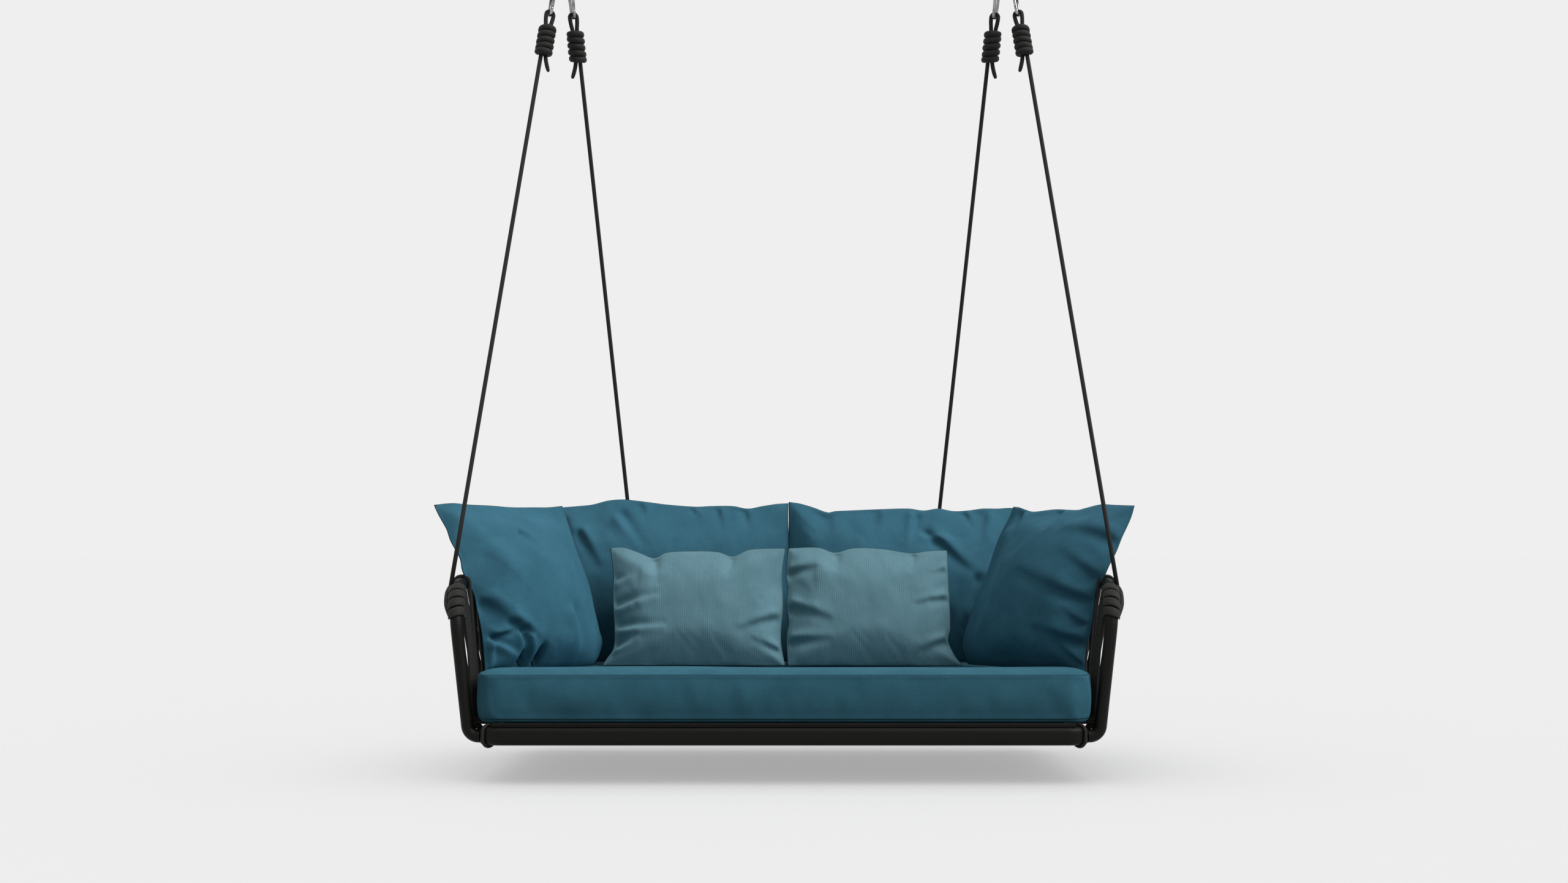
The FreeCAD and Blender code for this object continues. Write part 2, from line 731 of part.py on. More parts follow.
def net_sheet(origin, along, up, length, height, bend):
    """Returns a flat net with diamond gaps; its upper first corner may follow a bend."""
    def at(u, h):
        """Returns the point of the net at a length and a height."""
        return origin + along * u + up * h

    slant = math.sqrt(1 / 2)
    if bend > 0:
        cut = bend * (1 - slant)
        edges = [line(at(0, 0), at(0, height - bend)),
                 arc(at(0, height - bend), at(cut, height - cut), at(bend, height)),
                 line(at(bend, height), at(length, height))]
    else:
        edges = [line(at(0, 0), at(0, height)), line(at(0, height), at(length, height))]
    edges = edges + [line(at(length, height), at(length, 0)), line(at(length, 0), at(0, 0))]
    wires = [Part.Wire(edges)]
    half_w = net_gap_width / 2
    half_h = net_gap_height / 2
    keep_share = 1 - net_cord * math.hypot(half_w, half_h) / (net_gap_width * half_h)
    columns = int(length // half_w)
    rows = int(height // half_h)
    first_u = (length - columns * half_w) / 2
    first_h = (height - rows * half_h) / 2
    for column in range(1, columns):
        for row in range(1, rows):
            if (column + row) % 2 == 0:
                u = first_u + column * half_w
                h = first_h + row * half_h
                corner_u = bend - u + half_w
                corner_h = h + half_h - (height - bend)
                if corner_u > 0 and corner_h > 0 and math.hypot(corner_u, corner_h) > bend:
                    continue
                reach_u = half_w * keep_share
                reach_h = half_h * keep_share
                corners = [at(u - reach_u, h), at(u, h - reach_h), at(u + reach_u, h), at(u, h + reach_h),
                           at(u - reach_u, h)]
                wires.append(Part.makePolygon(corners))
    face = Part.makeFace(wires, "Part::FaceMakerBullseye")
    shift = unit(along.cross(up)) * (net_cord / 2)
    return face.extrude(shift * 2).translated(shift * -1)


def arm_net(side):
    """Returns the net of one arm, in the leaning plane of its tube and clear of the rope turns."""
    up = vec(side * math.sin(lean), 0, math.cos(lean))
    clear = tube_r + fit
    origin = spot(side * rod_x, leg_y + clear, rod_height) + up * (rod_r + fit)
    height = (arm_height - rod_height) / math.cos(lean) - rod_r - fit - clear
    length = back_y - rear_bend_radius - leg_y - clear
    net = net_sheet(origin, vec(0, 1, 0), up, length, height, arm_bend - clear)
    spare = front_turn_d / arm_bend
    low = math.radians(front_turn_low) - spare
    high = math.radians(front_turn_top) + spare
    bend = [arm_frame(side, angle)[0] for angle in (low, (low + high) / 2, high)]
    return net.cut(round_bar(Part.Wire(arc(*bend)), tube_r + turn_height + fit))


def back_net():
    """Returns the net of the back between its posts, in its leaning plane and clear of the rope turns."""
    up = vec(0, math.sin(lean), math.cos(lean))
    reach = post_half_span - post_d / 2 - fit
    origin = spot(-reach, rod_back_y, rod_height) + up * (rod_r + fit)
    height = (arm_height - rod_height) / math.cos(lean) - rod_r - tube_r - 2 * fit
    net = net_sheet(origin, vec(1, 0, 0), up, 2 * reach, height, 0)
    for side in (-1, 1):
        near = spot(side * rear_rope_x, back_y, arm_height)
        far = near + vec(side * (rope_d + rear_turn_d + rear_turns * rear_turn_pitch), 0, 0)
        net = net.cut(rod_between(near, far, tube_r + turn_height + fit))
    return net


def slats():
    """Returns the slats that the seat cushion lies on."""
    pieces = []
    reach = seat_depth / 2 - slat_inset - slat_width / 2
    for index in range(slat_count):
        mid_y = -reach + 2 * reach * index / (slat_count - 1)
        end_inset = slat_inset + seat_corner if index in (0, slat_count - 1) else slat_inset
        size = vec(seat_width - 2 * end_inset, slat_width, slat_thick)
        pieces.append(box(size, spot(0, mid_y, rail_height + slat_thick / 2)))
    return pieces


def rounded_plan(half_x, half_y, corner, z):
    """Returns a rounded rectangle about the seat's middle at a height."""
    slant = corner * (1 - math.sqrt(1 / 2))
    points = []
    for way_x, way_y in ((1, -1), (1, 1), (-1, 1), (-1, -1)):
        near = spot(way_x * half_x, way_y * (half_y - corner), z)
        far = spot(way_x * (half_x - corner), way_y * half_y, z)
        middle = spot(way_x * (half_x - slant), way_y * (half_y - slant), z)
        points.append((near, middle, far) if way_x * way_y > 0 else (far, middle, near))
    edges = []
    for index, (start, middle, end) in enumerate(points):
        edges.append(arc(start, middle, end))
        edges.append(line(end, points[(index + 1) % len(points)][0]))
    return Part.Wire(edges)


def seat_cushion():
    """Returns the seat cushion, drawn in at its lower seam and crowned on top."""
    wires = []
    for level_share, inset_share in zip(seat_pad_levels_share, seat_pad_insets_share):
        inset = seat_pad_pull * inset_share
        wires.append(rounded_plan(seat_pad_width / 2 - inset, seat_pad_depth / 2 - inset, seat_pad_corner,
                                  pad_base + seat_pad_thick * level_share))
    return Part.makeLoft(wires, True, True)


def lens(left, right, front, back):
    """Returns the outline of a cushion across, sewn at both ends and swelling between them."""
    middle = (left + right) * (1 / 2)
    ahead = unit((right - left).cross(vec(0, 0, 1)))
    return Part.Wire([arc(left, middle + ahead * front, right), arc(right, middle - ahead * back, left)])


def leaning_cushion(side, gap, width, height, thick, foot, lean_back, pull):
    """Returns one of a pair of upright cushions beside the sofa's middle."""
    wires = []
    for level_share, swell_share, pull_share in zip(levels_share, swells_share, pulls_share):
        z = pad_top + fit + height * level_share
        y = foot + lean_back * level_share
        near = spot(side * (gap / 2 + pull * pull_share), y, z)
        far = spot(side * (gap / 2 + width - pull * pull_share), y, z)
        left, right = (near, far) if side > 0 else (far, near)
        swell = thick / 2 * swell_share + pad_edge
        wires.append(lens(left, right, swell, swell))
    return Part.makeLoft(wires, True, True)


def corner_cushion(side):
    """Returns the cushion in one corner, whose top leans out over the arm."""
    wires = []
    for level_share, swell_share, tip_share, top_share in zip(levels_share, swells_share, corner_tips_share,
                                                              corner_tops_share):
        z = pad_top + fit + corner_pad_height * level_share
        outer = spot(side * (corner_arm_x + corner_tip_out * tip_share),
                     corner_arm_y + corner_tip_back * tip_share, z)
        inner = spot(side * (corner_back_x + corner_top_out * top_share),
                     corner_back_y + corner_top_back * level_share, z)
        left, right = (inner, outer) if side > 0 else (outer, inner)
        swell = corner_pad_thick / 2 * swell_share + pad_edge
        wires.append(lens(left, right, swell, swell))
    return Part.makeLoft(wires, True, True)


def hangers():
    """Returns the four hangers by name."""
    found = {}
    for name, side in (("left", -1), ("right", 1)):
        front_hook = vec(side * (hook_half_span + hook_pair_gap / 2), 0, -pivot_drop)
        rear_hook = vec(side * (hook_half_span - hook_pair_gap / 2), 0, -pivot_drop)
        centre, outward = arm_frame(side, math.radians(rope_seat_turn))[:2]
        front_seat = centre + outward * (tube_r + rope_seat_gap + rope_r)
        rear_seat = spot(side * rear_rope_x, back_y + tube_r + rope_seat_gap + rope_r, arm_height)
        found["front_" + name] = Hanger(front_hook, front_seat, -side)
        found["rear_" + name] = Hanger(rear_hook, rear_seat, side)
    return found


def main():
    """Builds and writes every sub-part."""
    rivets = []
    for name, hanger in hangers().items():
        save("carabiner_" + name, hanger.settle(hanger.body()))
        save("carabiner_gate_" + name, hanger.settle(hanger.gate()))
        save("rope_" + name, hanger.settle(hanger.rope()))
        save("knot_" + name, hanger.settle(hanger.knot("knot " + name)))
        rivets.append(hanger.settle(hanger.rivet(rivet_d / 2, wire_d)))
        pivot = hanger.to_part(hanger.pivot)
        print("gate", name, "pivot", [round(value, 3) for value in pivot])
        print("gate", name, "axis", [round(-value, 5) for value in hanger.across])
        print("rope", name, "run %.1f mm, eye radius %.1f mm, tail radius %.1f mm, leg radius %.1f mm"
              % (hanger.length + hanger.knot_low, hanger.eye_radius, tail_bend, leg_bend))
    save("gate_rivets", *rivets)
    nuts = []
    for name, side in (("left", -1), ("right", 1)):
        save("ceiling_bracket_" + name, ceiling_bracket(side))
        save("pivot_bolt_" + name, pivot_bolt(side))
        nuts.append(pivot_nut(side))
        save("arm_tube_" + name, round_tube(arm_wire(side), tube_r, tube_wall))
        save("arm_rope_turns_" + name, front_winding(side))
        save("back_rope_turns_" + name, rear_winding(side))
        save("back_post_" + name, back_post(side))
        save("lacing_rod_" + name, lacing_rod(side))
        save("arm_net_" + name, arm_net(side))
        save("seat_side_rail_" + name, side_rail(side))
        save("seat_corner_band_" + name, corner_band(side))
        back_pad = leaning_cushion(side, back_pad_gap, back_pad_width, back_pad_height, back_pad_thick,
                                   back_pad_foot, back_pad_lean, back_pad_pull)
        save("back_cushion_" + name, back_pad)
        lumbar_pad = leaning_cushion(side, lumbar_gap, lumbar_width, lumbar_height, lumbar_thick,
                                     lumbar_foot, lumbar_lean, lumbar_pull)
        save("lumbar_cushion_" + name, lumbar_pad)
        save("corner_cushion_" + name, corner_cushion(side))
    save("pivot_nuts", *nuts)
    save("back_tube", round_tube(back_wire(), tube_r, tube_wall))
    save("tube_spigots", tube_spigot(-1), tube_spigot(1))
    save("lacing_rod_back", lacing_rod(0))
    save("rod_gussets", *gussets())
    save("back_net", back_net())
    save("seat_front_rail", end_rail(-1))
    save("seat_back_rail", end_rail(1))
    for index in range(bar_count):
        save("seat_cross_bar_%d" % (index + 1), cross_bar(index))
    save("seat_slats", *slats())
    save("seat_cushion", seat_cushion())


main()
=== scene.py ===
"""Dresses the hanging sofa: cushions, ropes, knots, net, finishes, light and camera.

Lengths are metres in the part's frame: the origin lies on the ceiling between the
brackets, +X runs along the sofa to the viewer's right, +Y to its back and +Z up.
"""
import logging
import math
from collections.abc import Callable, Sequence
from dataclasses import dataclass, field
from enum import Enum
from functools import partial

import bmesh
import bpy
from mathutils import Matrix, Vector, noise
from mathutils.bvhtree import BVHTree


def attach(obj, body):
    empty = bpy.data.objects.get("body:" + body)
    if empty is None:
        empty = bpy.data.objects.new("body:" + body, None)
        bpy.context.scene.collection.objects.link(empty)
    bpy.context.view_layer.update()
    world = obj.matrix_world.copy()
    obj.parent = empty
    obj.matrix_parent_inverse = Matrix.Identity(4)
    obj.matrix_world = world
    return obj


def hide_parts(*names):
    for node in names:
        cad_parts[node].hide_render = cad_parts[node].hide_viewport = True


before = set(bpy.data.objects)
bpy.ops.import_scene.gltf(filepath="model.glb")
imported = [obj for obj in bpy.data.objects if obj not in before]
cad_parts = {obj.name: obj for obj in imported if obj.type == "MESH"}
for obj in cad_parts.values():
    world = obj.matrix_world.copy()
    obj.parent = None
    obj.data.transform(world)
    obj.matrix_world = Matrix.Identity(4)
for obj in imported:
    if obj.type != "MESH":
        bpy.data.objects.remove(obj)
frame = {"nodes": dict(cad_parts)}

log = logging.getLogger("hanging_sofa")

UV_LAYER = "cut"
SEAM_LAYER = "seam"
SEWN = 1e-6              # points closer than this are one

SWING_BACK = 0.0933      # swing axis behind the middle of the seat frame
HANG_HEIGHT = 2.190      # ceiling down to the underside of the seat frame
PIVOT_DROP = 0.042       # ceiling down to the swing axis
PAD_BASE = 0.0593        # underside of the seat cushion over that of the seat frame
PAD_TOP = 0.1933         # top of the seat cushion over the underside of the seat frame
TUBE_RADIUS = 0.017
LEG_Y = -0.340
ARM_LEAN = math.radians(6.2)
ARM_BEND = 0.130
ARM_HEIGHT = 0.425
ARM_X = 0.8899
BEND_LOW_X = 0.8759
BEND_LOW_Z = 0.2958
BACK_Y = 0.476
REAR_CORNER = 0.090
ROD_X = 0.8507
ROD_BACK_Y = 0.4368
ROD_HEIGHT = 0.064
ROD_RADIUS = 0.006
POST_X = 0.736
ROPE_RADIUS = 0.006
ROPE_SEAT_OFF = 0.0238   # tube's middle to the rope's middle where they meet
ROPE_SEAT_TURN = math.radians(77.0)
REAR_ROPE_X = 0.468

Colour = tuple[float, float, float]
Row = tuple[tuple[float, float], ...]
Station = tuple[Vector, Vector, Vector, float]


class Body(Enum):
    """Bodies of the frame that new pieces ride on."""

    SOFA = "sofa"


class Slot(Enum):
    """Material slots of the record, passed along with the new pieces."""

    HANGING = "hanging_rope"
    WRAPPING = "wrapping_rope"
    NET = "net_cord"
    CLOTH = "cushion_fabric"
    LUMBAR = "lumbar_fabric"


class Side(Enum):
    """The two ends of the sofa."""

    LEFT = -1
    RIGHT = 1

    @property
    def word(self) -> str:
        """The side's word in node names."""
        return self.name.lower()


def spot(x: float, y: float, z: float) -> Vector:
    """Moves a place from the sofa's own measures to the part's frame.

    Args:
        x: Distance to the right of the sofa's middle.
        y: Distance behind the middle of the seat frame.
        z: Height over the underside of the seat frame.

    Returns:
        The same place in the part's frame.
    """
    return Vector((x, y - SWING_BACK, z - HANG_HEIGHT))


def smooth(share: float) -> float:
    """Eases a share of 0 to 1.

    Args:
        share: Any number; it is first held between 0 and 1.

    Returns:
        The eased share.
    """
    held = min(max(share, 0.0), 1.0)
    return held * held * (3.0 - 2.0 * held)


def table(levels: Sequence[float], values: Sequence[float], level: float) -> float:
    """Reads a smooth curve through given values.

    Args:
        levels: Rising places of the values.
        values: The value at each place.
        level: The place to read.

    Returns:
        The value of the cubic curve there.
    """
    held = min(max(level, levels[0]), levels[-1])
    last = len(levels) - 1
    index = next(i for i in range(last) if held <= levels[i + 1])

    def slope(at: int) -> float:
        """Finds the curve's slope at a value.

        Args:
            at: The value's number.

        Returns:
            The slope between its neighbours.
        """
        low, high = max(at - 1, 0), min(at + 1, last)
        return (values[high] - values[low]) / (levels[high] - levels[low])

    span = levels[index + 1] - levels[index]
    t = (held - levels[index]) / span
    rise = values[index + 1] - values[index]
    start, end = slope(index) * span, slope(index + 1) * span
    return values[index] + t * (start + t * (3 * rise - 2 * start - end + t * (start + end - 2 * rise)))


def running_lengths(points: Sequence[Vector]) -> list[float]:
    """Adds up the lengths along a line.

    Args:
        points: The line's points.

    Returns:
        The length from the start to each point.
    """
    lengths = [0.0]
    for before, after in zip(points, points[1:]):
        lengths.append(lengths[-1] + (after - before).length)
    return lengths


# Finishes


class Shader:
    """A principled material while its nodes are being joined."""

    def __init__(self, name: str) -> None:
        """Starts a material.

        Args:
            name: The material's name.
        """
        self.material = bpy.data.materials.new(name)
        self.material.use_nodes = True
        self.tree = self.material.node_tree
        self.surface = self.tree.nodes["Principled BSDF"]

    def add(self, kind: str, sockets: dict | None = None, **settings: object) -> bpy.types.Node:
        """Adds a node.

        Args:
            kind: The node's type.
            sockets: Values or outputs for its inputs, by name or number.
            settings: The node's own settings.

        Returns:
            The new node.
        """
        node = self.tree.nodes.new(kind)
        for key, value in settings.items():
            setattr(node, key, value)
        self.feed(node, sockets or {})
        return node

    def feed(self, node: bpy.types.Node, sockets: dict) -> None:
        """Joins outputs to a node's inputs, or sets them.

        Args:
            node: The node to feed.
            sockets: Values or outputs for its inputs, by name or number.
        """
        for key, value in sockets.items():
            if isinstance(value, bpy.types.NodeSocket):
                self.tree.links.new(value, node.inputs[key])
            else:
                node.inputs[key].default_value = value

    def uv(self) -> bpy.types.NodeSocket:
        """Gives the map of the cut cloth or cord, in metres."""
        return self.add("ShaderNodeUVMap", uv_map=UV_LAYER).outputs["UV"]

    def place(self) -> bpy.types.NodeSocket:
        """Gives the place in the part's frame, in metres."""
        return self.add("ShaderNodeTexCoord").outputs["Object"]

    def turned(self, coords: bpy.types.NodeSocket, turn: float = 0.0,
               stretch: Colour = (1.0, 1.0, 1.0)) -> bpy.types.NodeSocket:
        """Turns and stretches coordinates.

        Args:
            coords: The coordinates.
            turn: Degrees about the third axis.
            stretch: Factors along the three axes.

        Returns:
            The new coordinates.
        """
        node = self.add("ShaderNodeMapping", {"Vector": coords, "Rotation": (0, 0, math.radians(turn)),
                                              "Scale": stretch})
        return node.outputs["Vector"]

    def wave(self, coords: bpy.types.NodeSocket, pitch: float, direction: str) -> bpy.types.NodeSocket:
        """Makes even ridges.

        Args:
            coords: Coordinates in metres.
            pitch: Distance from ridge to ridge.
            direction: X or Y, the way from ridge to ridge.

        Returns:
            The ridges' height from 0 to 1.
        """
        node = self.add("ShaderNodeTexWave", {"Vector": coords, "Scale": math.pi / 10 / pitch},
                        bands_direction=direction)
        return node.outputs["Fac"]

    def cloud(self, coords: bpy.types.NodeSocket, scale: float, detail: float = 3.0) -> bpy.types.NodeSocket:
        """Makes soft noise."""
        node = self.add("ShaderNodeTexNoise", {"Vector": coords, "Scale": scale, "Detail": detail})
        return node.outputs["Fac"]

    def math(self, operation: str, first: object, second: object = 0.0) -> bpy.types.NodeSocket:
        """Joins two numbers."""
        return self.add("ShaderNodeMath", {0: first, 1: second}, operation=operation).outputs[0]

    def ramp(self, value: object, low: float, high: float, start: float = 0.0,
             end: float = 1.0) -> bpy.types.NodeSocket:
        """Spreads a value from one range over another, smoothly and held at the ends.

        Args:
            value: The value to spread.
            low: Its lower end.
            high: Its upper end.
            start: The result at the lower end.
            end: The result at the upper end.

        Returns:
            The spread value.
        """
        sockets = {"Value": value, "From Min": low, "From Max": high, "To Min": start, "To Max": end}
        node = self.add("ShaderNodeMapRange", sockets, interpolation_type="SMOOTHSTEP")
        return node.outputs["Result"]

    def mix(self, share: object, first: object, second: object, blend: str = "MIX") -> bpy.types.NodeSocket:
        """Mixes two colours.

        Args:
            share: Share of the second.
            first: A colour or output.
            second: A colour or output.
            blend: The way they are mixed.

        Returns:
            The mixed colour.
        """
        def full(colour: object) -> object:
            """Gives a plain colour its fourth part."""
            return colour if isinstance(colour, bpy.types.NodeSocket) else (*colour, 1.0)

        node = self.add("ShaderNodeMix", {0: share, 6: full(first), 7: full(second)}, data_type="RGBA",
                        blend_type=blend)
        return node.outputs[2]

    def bump(self, height: bpy.types.NodeSocket, distance: float, strength: float = 1.0,
             under: bpy.types.NodeSocket | None = None) -> bpy.types.NodeSocket:
        """Raises the surface.

        Args:
            height: Height from 0 to 1.
            distance: Height of 1 in metres.
            strength: Share of the effect.
            under: A bump that lies below this one.

        Returns:
            The new normal.
        """
        sockets = {"Height": height, "Distance": distance, "Strength": strength}
        if under is not None:
            sockets["Normal"] = under
        return self.add("ShaderNodeBump", sockets).outputs["Normal"]


@dataclass(frozen=True)
class ClothFinish:
    """A plain woven cover cloth, with ribs where it has a rib pitch."""

    name: str
    dark: Colour
    light: Colour
    thread: float = 0.0021
    rib: float = 0.0
    rib_height: float = 0.0006
    rib_shade: float = 0.13
    weave_height: float = 0.00022
    slub: tuple[float, float] = (900.0, 30.0)
    slub_share: float = 0.30
    patch_scale: float = 14.0
    patch_share: float = 0.42
    tones: tuple[float, float] = (0.34, 0.74)
    pucker_scale: float = 26.0
    pucker_height: float = 0.0012
    seam_width: float = 0.0024
    seam_depth: float = 0.0016
    seam_shade: Colour = (0.25, 0.25, 0.25)
    roughness: float = 0.9
    specular: float = 0.18
    sheen: float = 0.16
    sheen_roughness: float = 0.45
    sheen_lift: float = 4.0

    def material(self) -> bpy.types.Material:
        """Makes the cloth.

        Returns:
            The material.
        """
        shader = Shader(self.name)
        cut = shader.uv()
        warp = shader.wave(cut, self.thread * 2, "X")
        weft = shader.wave(cut, self.thread * 2, "Y")
        over = shader.add("ShaderNodeTexChecker", {"Vector": cut, "Scale": 1 / self.thread}).outputs["Fac"]
        weave = shader.add("ShaderNodeMix", {0: over, 2: warp, 3: weft}).outputs[0]
        fine, coarse = self.slub
        slub_up = shader.cloud(shader.turned(cut, 0.0, (fine, coarse, 1.0)), 1.0, 2.0)
        slub_across = shader.cloud(shader.turned(cut, 0.0, (coarse, fine, 1.0)), 1.0, 2.0)
        slub = shader.math("MULTIPLY", shader.math("ADD", slub_up, slub_across), self.slub_share)
        patch = shader.math("MULTIPLY", shader.cloud(cut, self.patch_scale), self.patch_share)
        tone = shader.ramp(shader.math("ADD", slub, patch), *self.tones)
        colour = shader.mix(tone, self.dark, self.light)
        normal = shader.bump(shader.cloud(cut, self.pucker_scale), self.pucker_height, 0.35)
        if self.rib > 0:
            ribs = shader.wave(cut, self.rib, "X")
            # Darker in the rib valleys: painted shade.
            shade = shader.ramp(ribs, 0.0, 0.55, self.rib_shade, 0.0)
            colour = shader.mix(shade, colour, self.dark, "MULTIPLY")
            normal = shader.bump(ribs, self.rib_height, 0.35, normal)
        normal = shader.bump(weave, self.weave_height, 0.55, normal)
        seam = shader.add("ShaderNodeAttribute", attribute_name=SEAM_LAYER).outputs["Fac"]
        stitch = shader.ramp(seam, 0.0, self.seam_width)
        # Darker along the seam: painted shade in its groove.
        colour = shader.mix(shader.math("SUBTRACT", 1.0, stitch), colour, self.seam_shade, "MULTIPLY")
        normal = shader.bump(stitch, self.seam_depth, 0.8, normal)
        tint = (*(min(self.sheen_lift * part, 1.0) for part in self.light), 1.0)
        shader.feed(shader.surface, {"Base Color": colour, "Normal": normal, "Roughness": self.roughness,
                                     "Sheen Weight": self.sheen, "Sheen Roughness": self.sheen_roughness,
                                     "Sheen Tint": tint, "Specular IOR Level": self.specular})
        return shader.material


@dataclass(frozen=True)
class CordFinish:
    """A braided cord, from its map of length and girth."""

    name: str
    dark: Colour
    light: Colour
    plait: float = 0.0034
    slant: float = 36.0
    depth: float = 0.0006
    braid_share: float = 0.55
    fuzz_scale: float = 1400.0
    fuzz_share: float = 0.45
    fuzz_height: float = 0.0002
    worn_scale: float = 40.0
    worn_share: float = 0.35
    roughness: tuple[float, float] = (0.62, 0.86)
    sheen: float = 0.03
    specular: float = 0.3

    def material(self) -> bpy.types.Material:
        """Makes the cord's cover.

        Returns:
            The material.
        """
        shader = Shader(self.name)
        cut = shader.uv()
        one_way = shader.wave(shader.turned(cut, self.slant), self.plait, "X")
        other_way = shader.wave(shader.turned(cut, -self.slant), self.plait, "X")
        braid = shader.math("MAXIMUM", one_way, other_way)
        fuzz = shader.cloud(cut, self.fuzz_scale, 2.0)
        worn = shader.cloud(cut, self.worn_scale)
        tone = shader.math("ADD", shader.math("MULTIPLY", braid, self.braid_share),
                           shader.math("MULTIPLY", fuzz, self.fuzz_share))
        colour = shader.mix(shader.ramp(tone, 0.3, 0.9), self.dark, self.light)
        colour = shader.mix(shader.ramp(worn, 0.35, 0.75, 0.0, self.worn_share), colour, self.light)
        normal = shader.bump(braid, self.depth, 0.8)
        normal = shader.bump(fuzz, self.fuzz_height, 0.5, normal)
        shader.feed(shader.surface, {"Base Color": colour, "Normal": normal,
                                     "Roughness": shader.ramp(fuzz, 0.2, 0.8, *self.roughness),
                                     "Sheen Weight": self.sheen, "Specular IOR Level": self.specular})
        return shader.material


@dataclass(frozen=True)
class PaintFinish:
    """A matt powder coat with a fine pebbled skin and dust on what faces up."""

    name: str
    colour: Colour
    dust: Colour
    dust_share: float = 0.5
    pebble_scale: float = 900.0
    pebble_height: float = 0.00012
    worn_scale: float = 9.0
    roughness: tuple[float, float] = (0.42, 0.55)
    specular: float = 0.14

    def material(self) -> bpy.types.Material:
        """Makes the paint.

        Returns:
            The material.
        """
        shader = Shader(self.name)
        place = shader.place()
        pebble = shader.cloud(place, self.pebble_scale, 2.0)
        worn = shader.cloud(place, self.worn_scale, 5.0)
        skin = shader.add("ShaderNodeNewGeometry").outputs["Normal"]
        upward = shader.add("ShaderNodeSeparateXYZ", {0: skin}).outputs["Z"]
        dusty = shader.math("MULTIPLY", shader.ramp(upward, 0.2, 1.0, 0.0, self.dust_share),
                            shader.ramp(worn, 0.35, 0.7))
        shader.feed(shader.surface, {"Base Color": shader.mix(dusty, self.colour, self.dust),
                                     "Normal": shader.bump(pebble, self.pebble_height, 0.5),
                                     "Roughness": shader.ramp(worn, 0.3, 0.7, *self.roughness),
                                     "Specular IOR Level": self.specular})
        return shader.material


@dataclass(frozen=True)
class SteelFinish:
    """Bare or plated steel with fine drawing marks."""

    name: str
    colour: Colour
    shade: Colour
    roughness: tuple[float, float]
    marks: float
    mark_scale: tuple[float, float] = (1600.0, 60.0)
    mark_depth: float = 0.00008
    cloud_scale: float = 60.0

    def material(self) -> bpy.types.Material:
        """Makes the steel.

        Returns:
            The material.
        """
        shader = Shader(self.name)
        place = shader.place()
        across, along = self.mark_scale
        lines = shader.cloud(shader.turned(place, 0.0, (across, across, along)), 1.0, 3.0)
        cloud = shader.cloud(place, self.cloud_scale, 4.0)
        colour = shader.mix(shader.ramp(cloud, 0.35, 0.7), self.colour, self.shade)
        shader.feed(shader.surface, {"Base Color": colour, "Metallic": 1.0,
                                     "Normal": shader.bump(lines, self.mark_depth, self.marks),
                                     "Roughness": shader.ramp(cloud, 0.3, 0.75, *self.roughness)})
        return shader.material


@dataclass(frozen=True)
class WoodFinish:
    """Sprung slat veneer with its grain along X."""

    name: str
    light: Colour
    dark: Colour
    grain: tuple[float, float] = (5.0, 240.0)
    grain_share: float = 0.6
    grain_height: float = 0.0003
    rings: tuple[float, float] = (1.2, 32.0)
    rings_share: float = 0.4
    roughness: float = 0.7
    specular: float = 0.2

    def material(self) -> bpy.types.Material:
        """Makes the wood.

        Returns:
            The material.
        """
        shader = Shader(self.name)
        place = shader.place()
        grain, rings = (shader.cloud(shader.turned(place, 0.0, (along, across, across)), 1.0, detail)
                        for (along, across), detail in ((self.grain, 5.0), (self.rings, 3.0)))
        tone = shader.math("ADD", shader.math("MULTIPLY", grain, self.grain_share),
                           shader.math("MULTIPLY", rings, self.rings_share))
        colour = shader.mix(shader.ramp(tone, 0.32, 0.68), self.light, self.dark)
        shader.feed(shader.surface, {"Base Color": colour, "Roughness": self.roughness,
                                     "Normal": shader.bump(grain, self.grain_height, 0.5),
                                     "Specular IOR Level": self.specular})
        return shader.material


